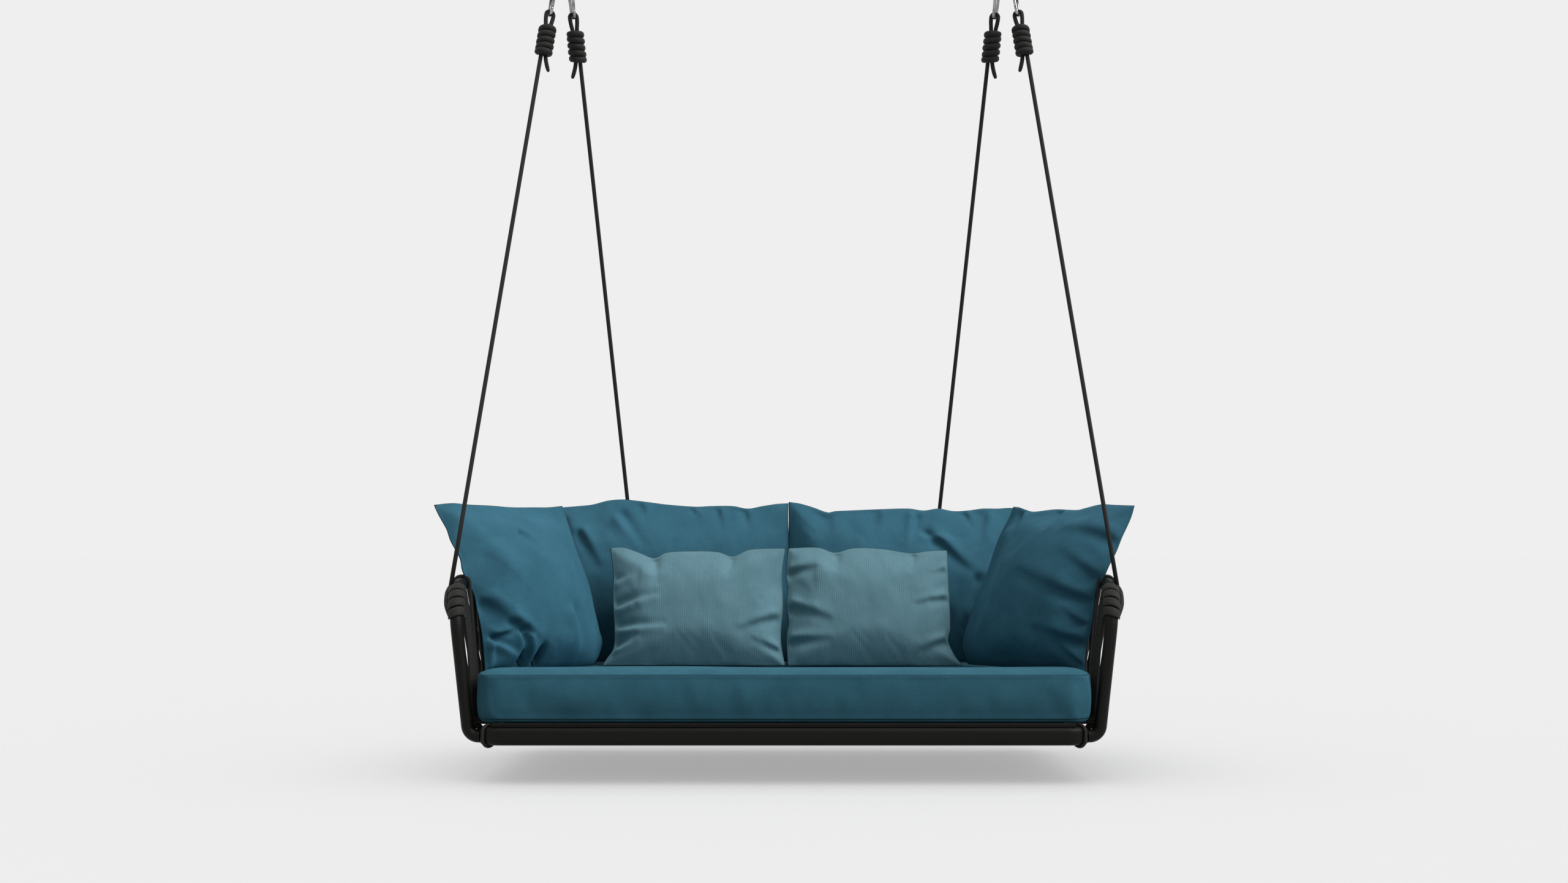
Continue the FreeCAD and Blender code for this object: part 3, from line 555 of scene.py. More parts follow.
@dataclass(frozen=True)
class Palette:
    """All finishes of the sofa, as materials."""

    shade_felt: bpy.types.Material
    cloth: bpy.types.Material
    seat: bpy.types.Material
    lumbar: bpy.types.Material
    rope: bpy.types.Material
    wrap: bpy.types.Material
    net: bpy.types.Material
    paint: bpy.types.Material
    polished: bpy.types.Material
    fixing: bpy.types.Material
    wood: bpy.types.Material

    @classmethod
    def mixed(cls) -> "Palette":
        """Makes every finish once.

        Returns:
            The palette.
        """
        # Near-black cloth of the rail strips: painted shade for the gap under the seat cushion.
        shade_felt = ClothFinish("black_painted_shade", (0.0035, 0.0035, 0.0033), (0.007, 0.007, 0.0065), sheen=0.04)
        cloth = ClothFinish("teal_weave", (0.0272, 0.107, 0.157), (0.0410, 0.146, 0.209))
        # The seat's cloth is the teal weave made about a third darker: painted shade on the seat cushion.
        seat = ClothFinish("seat_weave_painted_shade", (0.0243, 0.099, 0.140), (0.0352, 0.130, 0.181))
        lumbar = ClothFinish("grey_blue_rib", (0.108, 0.222, 0.266), (0.142, 0.274, 0.326),
                             rib=0.0062, sheen=0.2)
        rope = CordFinish("black_braid", (0.004, 0.004, 0.0036), (0.012, 0.012, 0.0105))
        wrap = CordFinish("wrap_braid", (0.004, 0.0039, 0.0034), (0.012, 0.0115, 0.010), plait=0.0042)
        net = CordFinish("net_braid", (0.004, 0.004, 0.0036), (0.011, 0.011, 0.0095), plait=0.0026)
        paint = PaintFinish("black_powder_coat", (0.0034, 0.0033, 0.0026), (0.007, 0.0066, 0.0056))
        polished = SteelFinish("polished_steel", (0.36, 0.36, 0.355), (0.20, 0.20, 0.20), (0.10, 0.24), 0.2)
        fixing = SteelFinish("zinc_plate", (0.34, 0.345, 0.35), (0.26, 0.265, 0.275), (0.28, 0.46), 0.5)
        # The grain is real; the near-black stain is painted shade for the gap under the seat cushion's front.
        wood = WoodFinish("slat_veneer_painted_shade", (0.022, 0.017, 0.013), (0.010, 0.008, 0.006))
        finishes = (shade_felt, cloth, seat, lumbar, rope, wrap, net, paint, polished, fixing, wood)
        return cls(*(finish.material() for finish in finishes))


# Shaping tools


def new_shape() -> bmesh.types.BMesh:
    """Starts an empty shape with its map and seam layers.

    Returns:
        The shape.
    """
    shape = bmesh.new()
    shape.loops.layers.uv.new(UV_LAYER)
    shape.verts.layers.float.new(SEAM_LAYER)
    return shape


def new_piece(name: str, shape: bmesh.types.BMesh) -> bpy.types.Object:
    """Turns a finished shape into an object of the scene.

    Args:
        name: The object's name.
        shape: The shape, which is used up.

    Returns:
        The object.
    """
    bmesh.ops.recalc_face_normals(shape, faces=shape.faces)
    for face in shape.faces:
        face.smooth = True
    mesh = bpy.data.meshes.new(name)
    shape.to_mesh(mesh)
    shape.free()
    piece = bpy.data.objects.new(name, mesh)
    bpy.context.scene.collection.objects.link(piece)
    return piece


def settle(piece: bpy.types.Object, finish: bpy.types.Material, slot: Slot, *nodes: str) -> None:
    """Gives a piece its finish, its body and the nodes that it stands in for.

    Args:
        piece: The piece.
        finish: Its material.
        slot: Its material slot in the record; not used.
        nodes: CAD nodes that it replaces.
    """
    piece.data.materials.append(finish)
    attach(piece, Body.SOFA.value)
    if nodes:
        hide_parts(*nodes)
    log.info("%s: %d faces", piece.name, len(piece.data.polygons))


def spline_points(route: Sequence[Vector], steps: int) -> list[Vector]:
    """Reads the smooth line that a NURBS spline draws from a route.

    Args:
        route: The control points.
        steps: Points read from each stretch.

    Returns:
        Points of the line in order.
    """
    curve = bpy.data.curves.new("route", "CURVE")
    curve.dimensions = "3D"
    spline = curve.splines.new("NURBS")
    spline.points.add(len(route) - 1)
    for point, place in zip(spline.points, route):
        point.co = (*place, 1.0)
    spline.order_u = 3
    spline.use_endpoint_u = True
    curve.resolution_u = steps
    spline.resolution_u = steps
    carrier = bpy.data.objects.new("route", curve)
    mesh = bpy.data.meshes.new_from_object(carrier)
    points = [vertex.co.copy() for vertex in mesh.vertices]
    bpy.data.objects.remove(carrier)
    bpy.data.curves.remove(curve)
    bpy.data.meshes.remove(mesh)
    return points


@dataclass
class Sweep:
    """A skin drawn along a line, with its length and girth as a map in metres.

    Attributes:
        centres: Middles of the rings.
        half_width: Half the section's size across the guide.
        half_height: Half the section's size along the guide.
        guides: Direction of the section's height at each ring; a free cord has none.
        scales: Share of the section's size at each ring; none for a full one.
        sides: Faces round the section.
        squareness: 2 for an ellipse, more for a flattened band.
        closed: Whether the last ring meets the first.
    """

    centres: list[Vector]
    half_width: float
    half_height: float
    guides: list[Vector] | None = None
    scales: list[float] | None = None
    sides: int = 12
    squareness: float = 2.0
    closed: bool = False

    def capped(self) -> tuple[list[Vector], list[Vector], list[float]]:
        """Adds a ring of no size at each open end, which closes it.

        Returns:
            Middles, guides and scales of all rings.
        """
        centres, guides = list(self.centres), self.section_guides()
        scales = list(self.scales) if self.scales else [1.0] * len(centres)
        if not self.closed:
            centres = [centres[0], *centres, centres[-1]]
            guides = [guides[0], *guides, guides[-1]]
            scales = [0.0, *scales, 0.0]
        return centres, guides, scales

    def headings(self) -> list[Vector]:
        """Finds the line's direction at each ring.

        Returns:
            Unit directions.
        """
        last = len(self.centres) - 1
        found = []
        for index in range(last + 1):
            before, after = max(index - 1, 0), min(index + 1, last)
            if self.closed and index in (0, last):
                before, after = last - 1, 1
            found.append((self.centres[after] - self.centres[before]).normalized())
        return found

    def section_guides(self) -> list[Vector]:
        """Squares the given guides to the line, or carries one along it without twist.

        Returns:
            Unit guides, each square to the line.
        """
        headings = self.headings()
        if self.guides:
            return [(guide - heading * guide.dot(heading)).normalized()
                    for guide, heading in zip(self.guides, headings)]
        guide = headings[0].orthogonal().normalized()
        found = []
        for heading in headings:
            guide = (guide - heading * guide.dot(heading)).normalized()
            found.append(guide)
        return found

    def add_to(self, shape: bmesh.types.BMesh) -> None:
        """Draws the skin into a shape.

        Args:
            shape: The shape that takes it.
        """
        layer = shape.loops.layers.uv[UV_LAYER]
        headings = self.headings()
        centres, guides, scales = self.capped()
        if not self.closed:
            headings = [headings[0], *headings, headings[-1]]
        lengths = running_lengths(centres)
        girth = math.pi * (self.half_width + self.half_height)
        rows = len(centres) - 1
        made = bmesh.ops.create_grid(shape, x_segments=rows, y_segments=self.sides, size=0.5, calc_uvs=True)
        faces = {face for vertex in made["verts"] for face in vertex.link_faces}
        for face in faces:
            for loop in face.loops:
                share, round_share = loop[layer].uv
                loop[layer].uv = (lengths[round(share * rows)], girth * round_share)
        power = 2.0 / self.squareness
        for vertex in made["verts"]:
            ring = round((vertex.co.x + 0.5) * rows)
            angle = 2 * math.pi * (round((vertex.co.y + 0.5) * self.sides) % self.sides) / self.sides
            wide = math.copysign(abs(math.cos(angle)) ** power, math.cos(angle)) * self.half_width
            high = math.copysign(abs(math.sin(angle)) ** power, math.sin(angle)) * self.half_height
            across = headings[ring].cross(guides[ring])
            vertex.co = centres[ring] + (across * wide + guides[ring] * high) * scales[ring]
        bmesh.ops.remove_doubles(shape, verts=made["verts"], dist=SEWN)


@dataclass(frozen=True)
class Puff:
    """How a sewn cover is blown up in the cloth simulation."""

    pressure: float = 4.0
    frames: int = 20
    stiffness: float = 15.0
    bending: float = 0.5
    quality: int = 6
    mass: float = 0.3
    air_damping: float = 2.0

    def run(self, shape: bmesh.types.BMesh, pins: dict[int, float] | None = None) -> list[Vector]:
        """Blows the cover up.

        Args:
            shape: The cover as sewn.
            pins: How firmly points are held, by their number.

        Returns:
            The points' new places.
        """
        scene = bpy.context.scene
        mesh = bpy.data.meshes.new("cover")
        shape.to_mesh(mesh)
        cover = bpy.data.objects.new("cover", mesh)
        scene.collection.objects.link(cover)
        cloth = cover.modifiers.new("puff", "CLOTH")
        settings = cloth.settings
        settings.quality = self.quality
        settings.mass = self.mass
        settings.air_damping = self.air_damping
        settings.tension_stiffness = self.stiffness
        settings.compression_stiffness = self.stiffness
        settings.shear_stiffness = self.stiffness / 3
        settings.bending_stiffness = self.bending
        settings.use_pressure = True
        settings.uniform_pressure_force = self.pressure
        settings.effector_weights.gravity = 0.0
        if pins:
            group = cover.vertex_groups.new(name="held")
            for number, weight in pins.items():
                group.add([number], weight, "REPLACE")
            settings.vertex_group_mass = group.name
        cloth.point_cache.frame_end = self.frames
        for step in range(1, self.frames + 1):
            scene.frame_set(step)
        shown = cover.evaluated_get(bpy.context.evaluated_depsgraph_get())
        places = [vertex.co.copy() for vertex in shown.data.vertices]
        bpy.data.objects.remove(cover)
        bpy.data.meshes.remove(mesh)
        scene.frame_set(1)
        return places


# Hanging


def arm_frame(side: Side, angle: float) -> tuple[Vector, Vector, Vector]:
    """Finds a place on the bend of an arm tube.

    Args:
        side: The sofa's end.
        angle: Turn round the bend from the leg, in radians.

    Returns:
        The tube's middle, the outward side and the direction away from the bend's hub.
    """
    way = side.value
    rise = Vector((way * math.sin(ARM_LEAN), 0, math.cos(ARM_LEAN)))
    outward = Vector((way * math.cos(ARM_LEAN), 0, -math.sin(ARM_LEAN)))
    hub = spot(way * BEND_LOW_X, LEG_Y + ARM_BEND, BEND_LOW_Z)
    radial = Vector((0, -math.cos(angle), 0)) + rise * math.sin(angle)
    return hub + radial * ARM_BEND, outward, radial


@dataclass
class HangingRope:
    """One rope from the frame up through its knot, round the carabiner and down to its tail.

    Its own frame has z up along the rope from the pivot bolt.
    """

    name: str
    hook: Vector
    seat: Vector
    tail_side: int
    carabiner_yaw: float = math.radians(24.0)
    strand: float = 0.00615
    bar_z: float = -0.0712
    eye_radius: float = 0.0108
    knot_top: float = -0.1074
    knot_low: float = -0.1996
    tail_drop: float = 0.0058
    tail_length: float = 0.040
    tail_turn: float = math.radians(26.0)
    tail_taper: tuple[float, ...] = (0.62, 0.86, 0.96)
    straight: float = 12 * ROPE_RADIUS
    steps: int = 14
    sides: int = 14

    def place(self) -> tuple[Matrix, float]:
        """Finds the rope's own frame.

        Returns:
            Its matrix and the rope's reach from the bolt to the tube.
        """
        yaw = math.copysign(self.carabiner_yaw, self.hook.x)
        ahead = Vector((math.sin(yaw), math.cos(yaw), 0))
        target = self.seat
        for _ in range(4):
            up = (self.hook - target).normalized()
            depth = (ahead - up * ahead.dot(up)).normalized()
            across = depth.cross(up)
            target = self.seat + across * (self.tail_side * self.strand)
        matrix = Matrix((across, depth, up)).transposed().to_4x4()
        matrix.translation = self.hook
        return matrix, (self.hook - target).length

    def route(self) -> list[Vector]:
        """Lists the control points of the rope's line.

        Returns:
            Points in the part's frame, from the tube to the tail's end.
        """
        matrix, length = self.place()
        stand = -self.tail_side * self.strand
        way = math.copysign(1.0, stand)
        eye = self.eye_radius
        root_z = self.knot_low - self.tail_drop
        lead = self.knot_top - self.bar_z + eye
        local = [(stand, -length), (stand, self.knot_low - self.straight), (stand, self.knot_top + lead),
                 (stand, self.knot_top), (way * eye, self.bar_z - eye), (way * eye, self.bar_z + eye),
                 (-way * eye, self.bar_z + eye), (-way * eye, self.bar_z - eye), (-stand, self.knot_top),
                 (-stand, self.knot_top + lead), (-stand, root_z + self.tail_length), (-stand, root_z),
                 (-stand - way * self.tail_length * math.sin(self.tail_turn),
                  root_z - self.tail_length * math.cos(self.tail_turn))]
        return [matrix @ Vector((x, 0.0, z)) for x, z in local]

    def build(self, palette: Palette, knot: bpy.types.Object) -> bpy.types.Object:
        """Args:
            palette: The finishes.
            knot: The knot on it; not used.

        Returns:
            The rope.
        """
        line = spline_points(self.route(), self.steps)
        shape = new_shape()
        scales = [1.0] * len(line)
        for back, share in enumerate(self.tail_taper, 1):
            scales[-back] = share
        Sweep(line, ROPE_RADIUS, ROPE_RADIUS, scales=scales, sides=self.sides).add_to(shape)
        rope = new_piece(f"hanging_rope_{self.name}", shape)
        settle(rope, palette.rope, Slot.HANGING, f"rope_{self.name}")
        return rope


@dataclass
class CoiledKnot:
    """The coil of a rope's own end, wound round its two strands below the eye."""

    rope: HangingRope
    turns: int = 4
    pitch: float = 0.0186
    radius: float = 0.0176
    cord_radius: float = 0.0089
    per_turn: int = 30
    spare_turns: float = 0.42
    tuck_turns: float = 0.18
    tuck_reach: float = 0.62
    tuck_size: float = 0.5
    wander: float = 0.0008
    spread: float = 1.03
    sides: int = 14
    squareness: float = 2.3

    def build(self, palette: Palette) -> bpy.types.Object:
        """Makes the knot.

        Args:
            palette: The finishes.

        Returns:
            The knot.
        """
        matrix = self.rope.place()[0]
        turn_frame = matrix.to_3x3()
        base = self.rope.knot_low + self.cord_radius
        centres, guides, scales = [], [], []
        spare = round(self.spare_turns * self.per_turn)
        for step in range(-spare, self.turns * self.per_turn + spare + 1):
            turn = step / self.per_turn
            ease = smooth((min(turn, self.turns - turn) + self.spare_turns) / self.tuck_turns)
            angle = 2 * math.pi * turn * self.rope.tail_side
            out = Vector((math.sin(angle), -math.cos(angle), 0.0))
            sway = noise.noise(Vector((turn * 1.7, self.rope.hook.x * 9, self.rope.seat.y * 5)))
            reach = self.radius * (self.tuck_reach + (1.0 - self.tuck_reach) * ease) + sway * self.wander
            level = self.pitch * min(max(turn, 0.0), self.turns)
            centres.append(matrix @ (out * reach + Vector((0, 0, base + level))))
            guides.append(turn_frame @ out)
            scales.append(self.tuck_size + (1.0 - self.tuck_size) * ease)
        shape = new_shape()
        Sweep(centres, self.cord_radius * self.spread, self.cord_radius, guides, scales, self.sides,
              self.squareness).add_to(shape)
        knot = new_piece(f"coiled_knot_{self.rope.name}", shape)
        settle(knot, palette.wrap, Slot.HANGING, f"knot_{self.rope.name}")
        return knot


@dataclass
class Winding:
    """Flattened rope turns laid side by side round a tube.

    Attributes:
        name: The piece's name.
        node: The CAD node that it replaces.
        station: Gives the tube's middle, its outward side, its upper side and the turns' pitch there,
            for a share of the winding.
        lead: Places of the hanging rope's end, laid along the turns; none where it ends under them.
        turns: Number of turns.
        height: How far the turns stand out from the tube.
    """

    name: str
    node: str
    station: Callable[[float], Station]
    lead: list[Vector] = field(default_factory=list)
    turns: int = 4
    height: float = 0.0065
    sink: float = 0.0006
    per_turn: int = 36
    lap_share: float = 0.97
    tuck_turns: float = 0.12
    tuck_size: float = 0.55
    wander: float = 0.0007
    sides: int = 14
    squareness: float = 2.8
    lead_steps: int = 6

    def build(self, palette: Palette) -> bpy.types.Object:
        """Makes the winding.

        Args:
            palette: The finishes.

        Returns:
            The winding.
        """
        half_height = (self.height + self.sink) / 2
        centres, guides, scales, widths = [], [], [], []
        steps = self.turns * self.per_turn
        for step in range(steps + 1):
            turn = step / self.per_turn
            middle, outward, upper, pitch = self.station(step / steps)
            angle = -2 * math.pi * turn
            out = outward * math.cos(angle) + upper * math.sin(angle)
            wander = noise.noise(Vector((turn * 2.3, middle.x * 7, middle.y * 7))) * self.wander
            centres.append(middle + out * (TUBE_RADIUS - self.sink + half_height + wander))
            guides.append(out)
            ease = smooth(min(turn, self.turns - turn) / self.tuck_turns)
            scales.append(self.tuck_size + (1.0 - self.tuck_size) * ease)
            widths.append(pitch)
        shape = new_shape()
        mean_width = sum(widths) / len(widths)
        Sweep(centres, mean_width / 2 * self.lap_share, half_height, guides, scales, self.sides,
              self.squareness).add_to(shape)
        if self.lead:
            Sweep(spline_points(self.lead, self.lead_steps), ROPE_RADIUS, ROPE_RADIUS).add_to(shape)
        piece = new_piece(self.name, shape)
        settle(piece, palette.wrap, Slot.WRAPPING, self.node)
        return piece


@dataclass
class CornerRing:
    """A cord ring round the seat rail in a front corner."""

    side: Side
    hub_x: float = 0.755
    hub_y: float = -0.340
    hub_z: float = 0.025
    corner: float = 0.045
    half_thick: float = 0.015
    half_height: float = 0.025
    cord_radius: float = 0.004
    clearance: float = 0.0004
    spread: float = 1.1
    steps: int = 48

    def build(self, palette: Palette) -> bpy.types.Object:
        """Makes the ring.

        Args:
            palette: The finishes.

        Returns:
            The ring.
        """
        way = self.side.value
        out = Vector((way * math.sqrt(0.5), -math.sqrt(0.5), 0))
        centre = spot(way * self.hub_x, self.hub_y, self.hub_z) + out * self.corner
        reach = self.half_thick + self.cord_radius + self.clearance
        rise = self.half_height - self.half_thick
        centres = []
        for step in range(self.steps + 1):
            angle = 2 * math.pi * step / self.steps
            lift = math.copysign(rise, math.sin(angle)) if abs(math.sin(angle)) > 1e-6 else 0.0
            height = Vector((0, 0, reach * math.sin(angle) + lift))
            centres.append(centre + out * (reach * math.cos(angle)) + height)
        shape = new_shape()
        Sweep(centres, self.cord_radius * self.spread, self.cord_radius, closed=True).add_to(shape)
        ring = new_piece(f"corner_ring_{self.side.word}", shape)
        settle(ring, palette.wrap, Slot.WRAPPING, f"seat_corner_band_{self.side.word}")
        return ring


@dataclass
class CornerLashing:
    """Close turns of cord, crossed between them, that tie the net's rod to the side rail by a front corner.

    The cores are the strands that fill the turns, as distances from the sofa's middle and heights.
    """

    side: Side
    rail_x: float = 0.800
    rail_z: float = 0.025
    half_thick: float = 0.015
    half_height: float = 0.025
    start_y: float = -0.3175
    pitch: float = 0.0082
    turns: int = 4
    cord_radius: float = 0.0041
    cores: Row = ((0.8245, 0.0425), (0.8330, 0.0485), (0.8385, 0.0590), (0.8260, 0.0330), (0.8230, 0.0580),
                  (0.8310, 0.0590), (0.8355, 0.0395), (0.8435, 0.0465))
    core_radius: float = 0.0050
    core_length: float = 0.034
    clearance: float = 0.0003
    steps: int = 6
    sides: int = 10

    def route(self) -> list[Vector]:
        """Lists the control points of the cord.

        Returns:
            Points in the part's frame.
        """
        reach = self.cord_radius + self.clearance
        rod = ROD_RADIUS + reach
        inner, outer = self.rail_x - self.half_thick - reach, self.rail_x + self.half_thick + reach
        low, high = self.rail_z - self.half_height - reach, self.rail_z + self.half_height + reach
        turn = [(inner, high), (outer, high), (ROD_X - rod, ROD_HEIGHT - rod),
                (ROD_X + rod, ROD_HEIGHT - rod), (ROD_X + rod, ROD_HEIGHT + rod),
                (ROD_X - rod, ROD_HEIGHT + rod), (outer, self.rail_z + reach), (outer, low), (inner, low)]
        points = []
        for count in range(self.turns * len(turn) + 1):
            x, z = turn[count % len(turn)]
            points.append(spot(self.side.value * x, self.start_y + self.pitch * count / len(turn), z))
        return points

    def build(self, palette: Palette) -> bpy.types.Object:
        """Makes the lashing.

        Args:
            palette: The finishes.

        Returns:
            The lashing.
        """
        shape = new_shape()
        line = spline_points(self.route(), self.steps)
        Sweep(line, self.cord_radius, self.cord_radius, sides=self.sides).add_to(shape)
        end_y = self.start_y + self.core_length
        for x, z in self.cores:
            ends = [spot(self.side.value * x, y, z) for y in (self.start_y, end_y)]
            Sweep(ends, self.core_radius, self.core_radius, sides=self.sides).add_to(shape)
        lashing = new_piece(f"corner_lashing_{self.side.word}", shape)
        settle(lashing, palette.net, Slot.NET)
        return lashing


@dataclass
class ShadeStrip:
    """A near-black strip on the front or back seat rail: painted shade that fills the gap between the seat
    cushion and the rail.
    """

    name: str
    y: float
    length: float = 1.552
    width: float = 0.015
    low: float = 0.0485
    high: float = 0.0590
    rounding: float = 0.0025
    rounding_steps: int = 3

    def build(self, palette: Palette) -> bpy.types.Object:
        """Makes the strip.

        Args:
            palette: The finishes.

        Returns:
            The strip.
        """
        shape = new_shape()
        layer = shape.loops.layers.uv[UV_LAYER]
        seam = shape.verts.layers.float[SEAM_LAYER]
        bmesh.ops.create_cube(shape, size=1.0)
        bmesh.ops.scale(shape, vec=(self.length, self.width, self.high - self.low), verts=shape.verts)
        bmesh.ops.translate(shape, vec=spot(0, self.y, (self.low + self.high) / 2), verts=shape.verts)
        bmesh.ops.bevel(shape, geom=shape.edges[:], offset=self.rounding, segments=self.rounding_steps,
                        profile=0.5, material=-1, affect="EDGES")
        for vertex in shape.verts:
            vertex[seam] = 1.0
        for face in shape.faces:
            for loop in face.loops:
                loop[layer].uv = (loop.vert.co.x, loop.vert.co.y + loop.vert.co.z)
        strip = new_piece(f"felt_strip_{self.name}", shape)
        settle(strip, palette.shade_felt, Slot.NET)
        return strip


# Net


@dataclass(frozen=True)
class Anchor:
    """A place where the net's cord goes round a tube or rod.

    Attributes:
        point: The tube's middle.
        outward: Away from the seat.
        upper: Away from the net.
        bound: Whether rope turns cover the tube here, so the cord comes out from under them.
    """

    point: Vector
    outward: Vector
    upper: Vector
    bound: bool = False


@dataclass
class NetPanel:
    """A diamond net of one cord, laced to and fro between a tube above and a rod below.

    Attributes:
        name: The piece's name.
        node: The CAD node that it replaces.
        tops: Turning places on the tube.
        lows: Line of the rod, as a row of places.
        close: How many runs at the start stand close together along the rod.
        shift: How many places each run slants along the rod.
        ramp: Places over which the slant grows from an upright edge.
        close_share: Share of a full step between the close runs.
    """

    name: str
    node: str
    tops: list[Anchor]
    lows: list[Anchor]
    close: int = 0
    shift: float = 3.0
    ramp: float = 6.0
    close_share: float = 0.4
    cord_radius: float = 0.0045
    clearance: float = 0.0002
    steps: int = 4
    sides: int = 8

    def low_at(self, share: float) -> Anchor:
        """Finds a place along the rod.

        Args:
            share: Share of the rod's length.

        Returns:
            The place.
        """
        lengths = running_lengths([low.point for low in self.lows])
        wanted = share * lengths[-1]
        index = next(i for i in range(len(lengths) - 1) if wanted <= lengths[i + 1] + 1e-9)
        part = (wanted - lengths[index]) / (lengths[index + 1] - lengths[index])
        before, after = self.lows[index], self.lows[index + 1]
        outward = before.outward.lerp(after.outward, part).normalized()
        return Anchor(before.point.lerp(after.point, part), outward, Vector((0, 0, -1)))

    def route(self) -> list[Vector]:
        """Lists the control points of the cord.

        Returns:
            Points in the part's frame.
        """
        top_reach = TUBE_RADIUS + self.cord_radius + self.clearance
        low_reach = ROD_RADIUS + self.cord_radius + self.clearance
        saved = (1.0 - self.close_share) * self.close
        last = len(self.tops) - 1 - saved
        points = []
        for count, top in enumerate(self.tops):
            index = count * self.close_share if count < self.close else count - saved
            out, up = top.outward * top_reach, top.upper * top_reach
            points.append(top.point - out - up)
            points += [top.point] if top.bound else [top.point - out + up, top.point + out + up]
            points.append(top.point + out - up)
            slant = self.shift * smooth(min(index, last - index) / self.ramp)
            low = self.low_at(min((index + slant) / last, 1.0))
            out, down = low.outward * low_reach, low.upper * low_reach
            points += [low.point + out - down, low.point + out + down]
            points += [low.point - out + down, low.point - out - down]
        return points

    def build(self, palette: Palette) -> bpy.types.Object:
        """Makes the net.

        Args:
            palette: The finishes.

        Returns:
            The net.
        """
        shape = new_shape()
        line = spline_points(self.route(), self.steps)
        Sweep(line, self.cord_radius, self.cord_radius, sides=self.sides).add_to(shape)
        net = new_piece(self.name, shape)
        settle(net, palette.net, Slot.NET, self.node)
        return net


# Cushions


class FoldKind(Enum):
    """Shapes of a fold across its line."""

    CREASE = "crease"
    TUCK = "tuck"


@dataclass(frozen=True)
class Fold:
    """A fold in a cushion's front, along a line of its cut cloth.

    Attributes:
        start: Share of the width and height where it starts.
        end: Share of the width and height where it ends.
        depth: How far it stands out at its left and sinks at its right, seen from its start.
        width: Its half width.
        kind: A crease with a raised and a sunk side, or a sunk tuck.
        fade: Share of the depth that is lost along it.
        onset: Share of the full depth, before easing, at its start.
        onset_share: Share of its length over which it comes to its full depth.
        crispness: Less than 1 for a sharp crease.
        reach: Half widths beyond its ends where it stops.
    """

    start: tuple[float, float]
    end: tuple[float, float]
    depth: float
    width: float
    kind: FoldKind = FoldKind.CREASE
    fade: float = 0.8
    onset: float = 0.3
    onset_share: float = 0.25
    crispness: float = 0.75
    reach: float = 3.0

    def lift(self, across: float, up: float, size: tuple[float, float]) -> float:
        """Finds how far the fold lifts a point.

        Args:
            across: Share of the width.
            up: Share of the height.
            size: Width and height of the cut.

        Returns:
            The distance, negative where it sinks.
        """
        start = Vector((self.start[0] * size[0], self.start[1] * size[1]))
        run = Vector((self.end[0] * size[0], self.end[1] * size[1])) - start
        off = Vector((across * size[0], up * size[1])) - start
        along = off.dot(run) / run.length
        beyond = max(-along, along - run.length, 0.0) / self.width
        if beyond > self.reach:
            return 0.0
        depth = self.depth * (1.0 - self.fade * smooth(along / run.length)) * math.exp(-beyond * beyond)
        depth *= smooth(self.onset + along / (self.onset_share * run.length))
        side = (run.x * off.y - run.y * off.x) / run.length / self.width
        if self.kind is FoldKind.TUCK:
            return -depth * math.exp(-side * side)
        return depth * math.copysign(abs(side) ** self.crispness, side) * math.exp(0.5 - 0.5 * side * side)


@dataclass(frozen=True)
class Outline:
    """How far a cushion's edges wander from straight lines.

    Attributes:
        top: Rows of the share across and the rise there.
        bottom: Rows of the share across and the rise there, close to the lower edge.
        left: Rows of the share up and the way to the right there.
        right: Rows of the share up and the way to the right there.
        reach: How soon the wandering fades inwards.
        bottom_reach: How soon that of the lower edge fades upwards.
    """

    top: Row = ((0.0, 0.0), (1.0, 0.0))
    bottom: Row = ((0.0, 0.0), (1.0, 0.0))
    left: Row = ((0.0, 0.0), (1.0, 0.0))
    right: Row = ((0.0, 0.0), (1.0, 0.0))
    reach: float = 3.0
    bottom_reach: float = 8.0

    @staticmethod
    def read(rows: Row, share: float) -> float:
        """Reads one edge."""
        levels, values = zip(*rows)
        return table(levels, values, share)

    def wander(self, across: float, up: float) -> tuple[float, float]:
        """Finds how far a point goes with the edges.

        Args:
            across: Share of the width.
            up: Share of the height.

        Returns:
            The way to the right and the rise.
        """
        near_left = max(1.0 - across, 0.0) ** self.reach
        near_right = max(across, 0.0) ** self.reach
        right = self.read(self.left, up) * near_left + self.read(self.right, up) * near_right
        rise = self.read(self.top, across) * max(up, 0.0) ** self.reach
        return right, rise + self.read(self.bottom, across) * max(1.0 - up, 0.0) ** self.bottom_reach


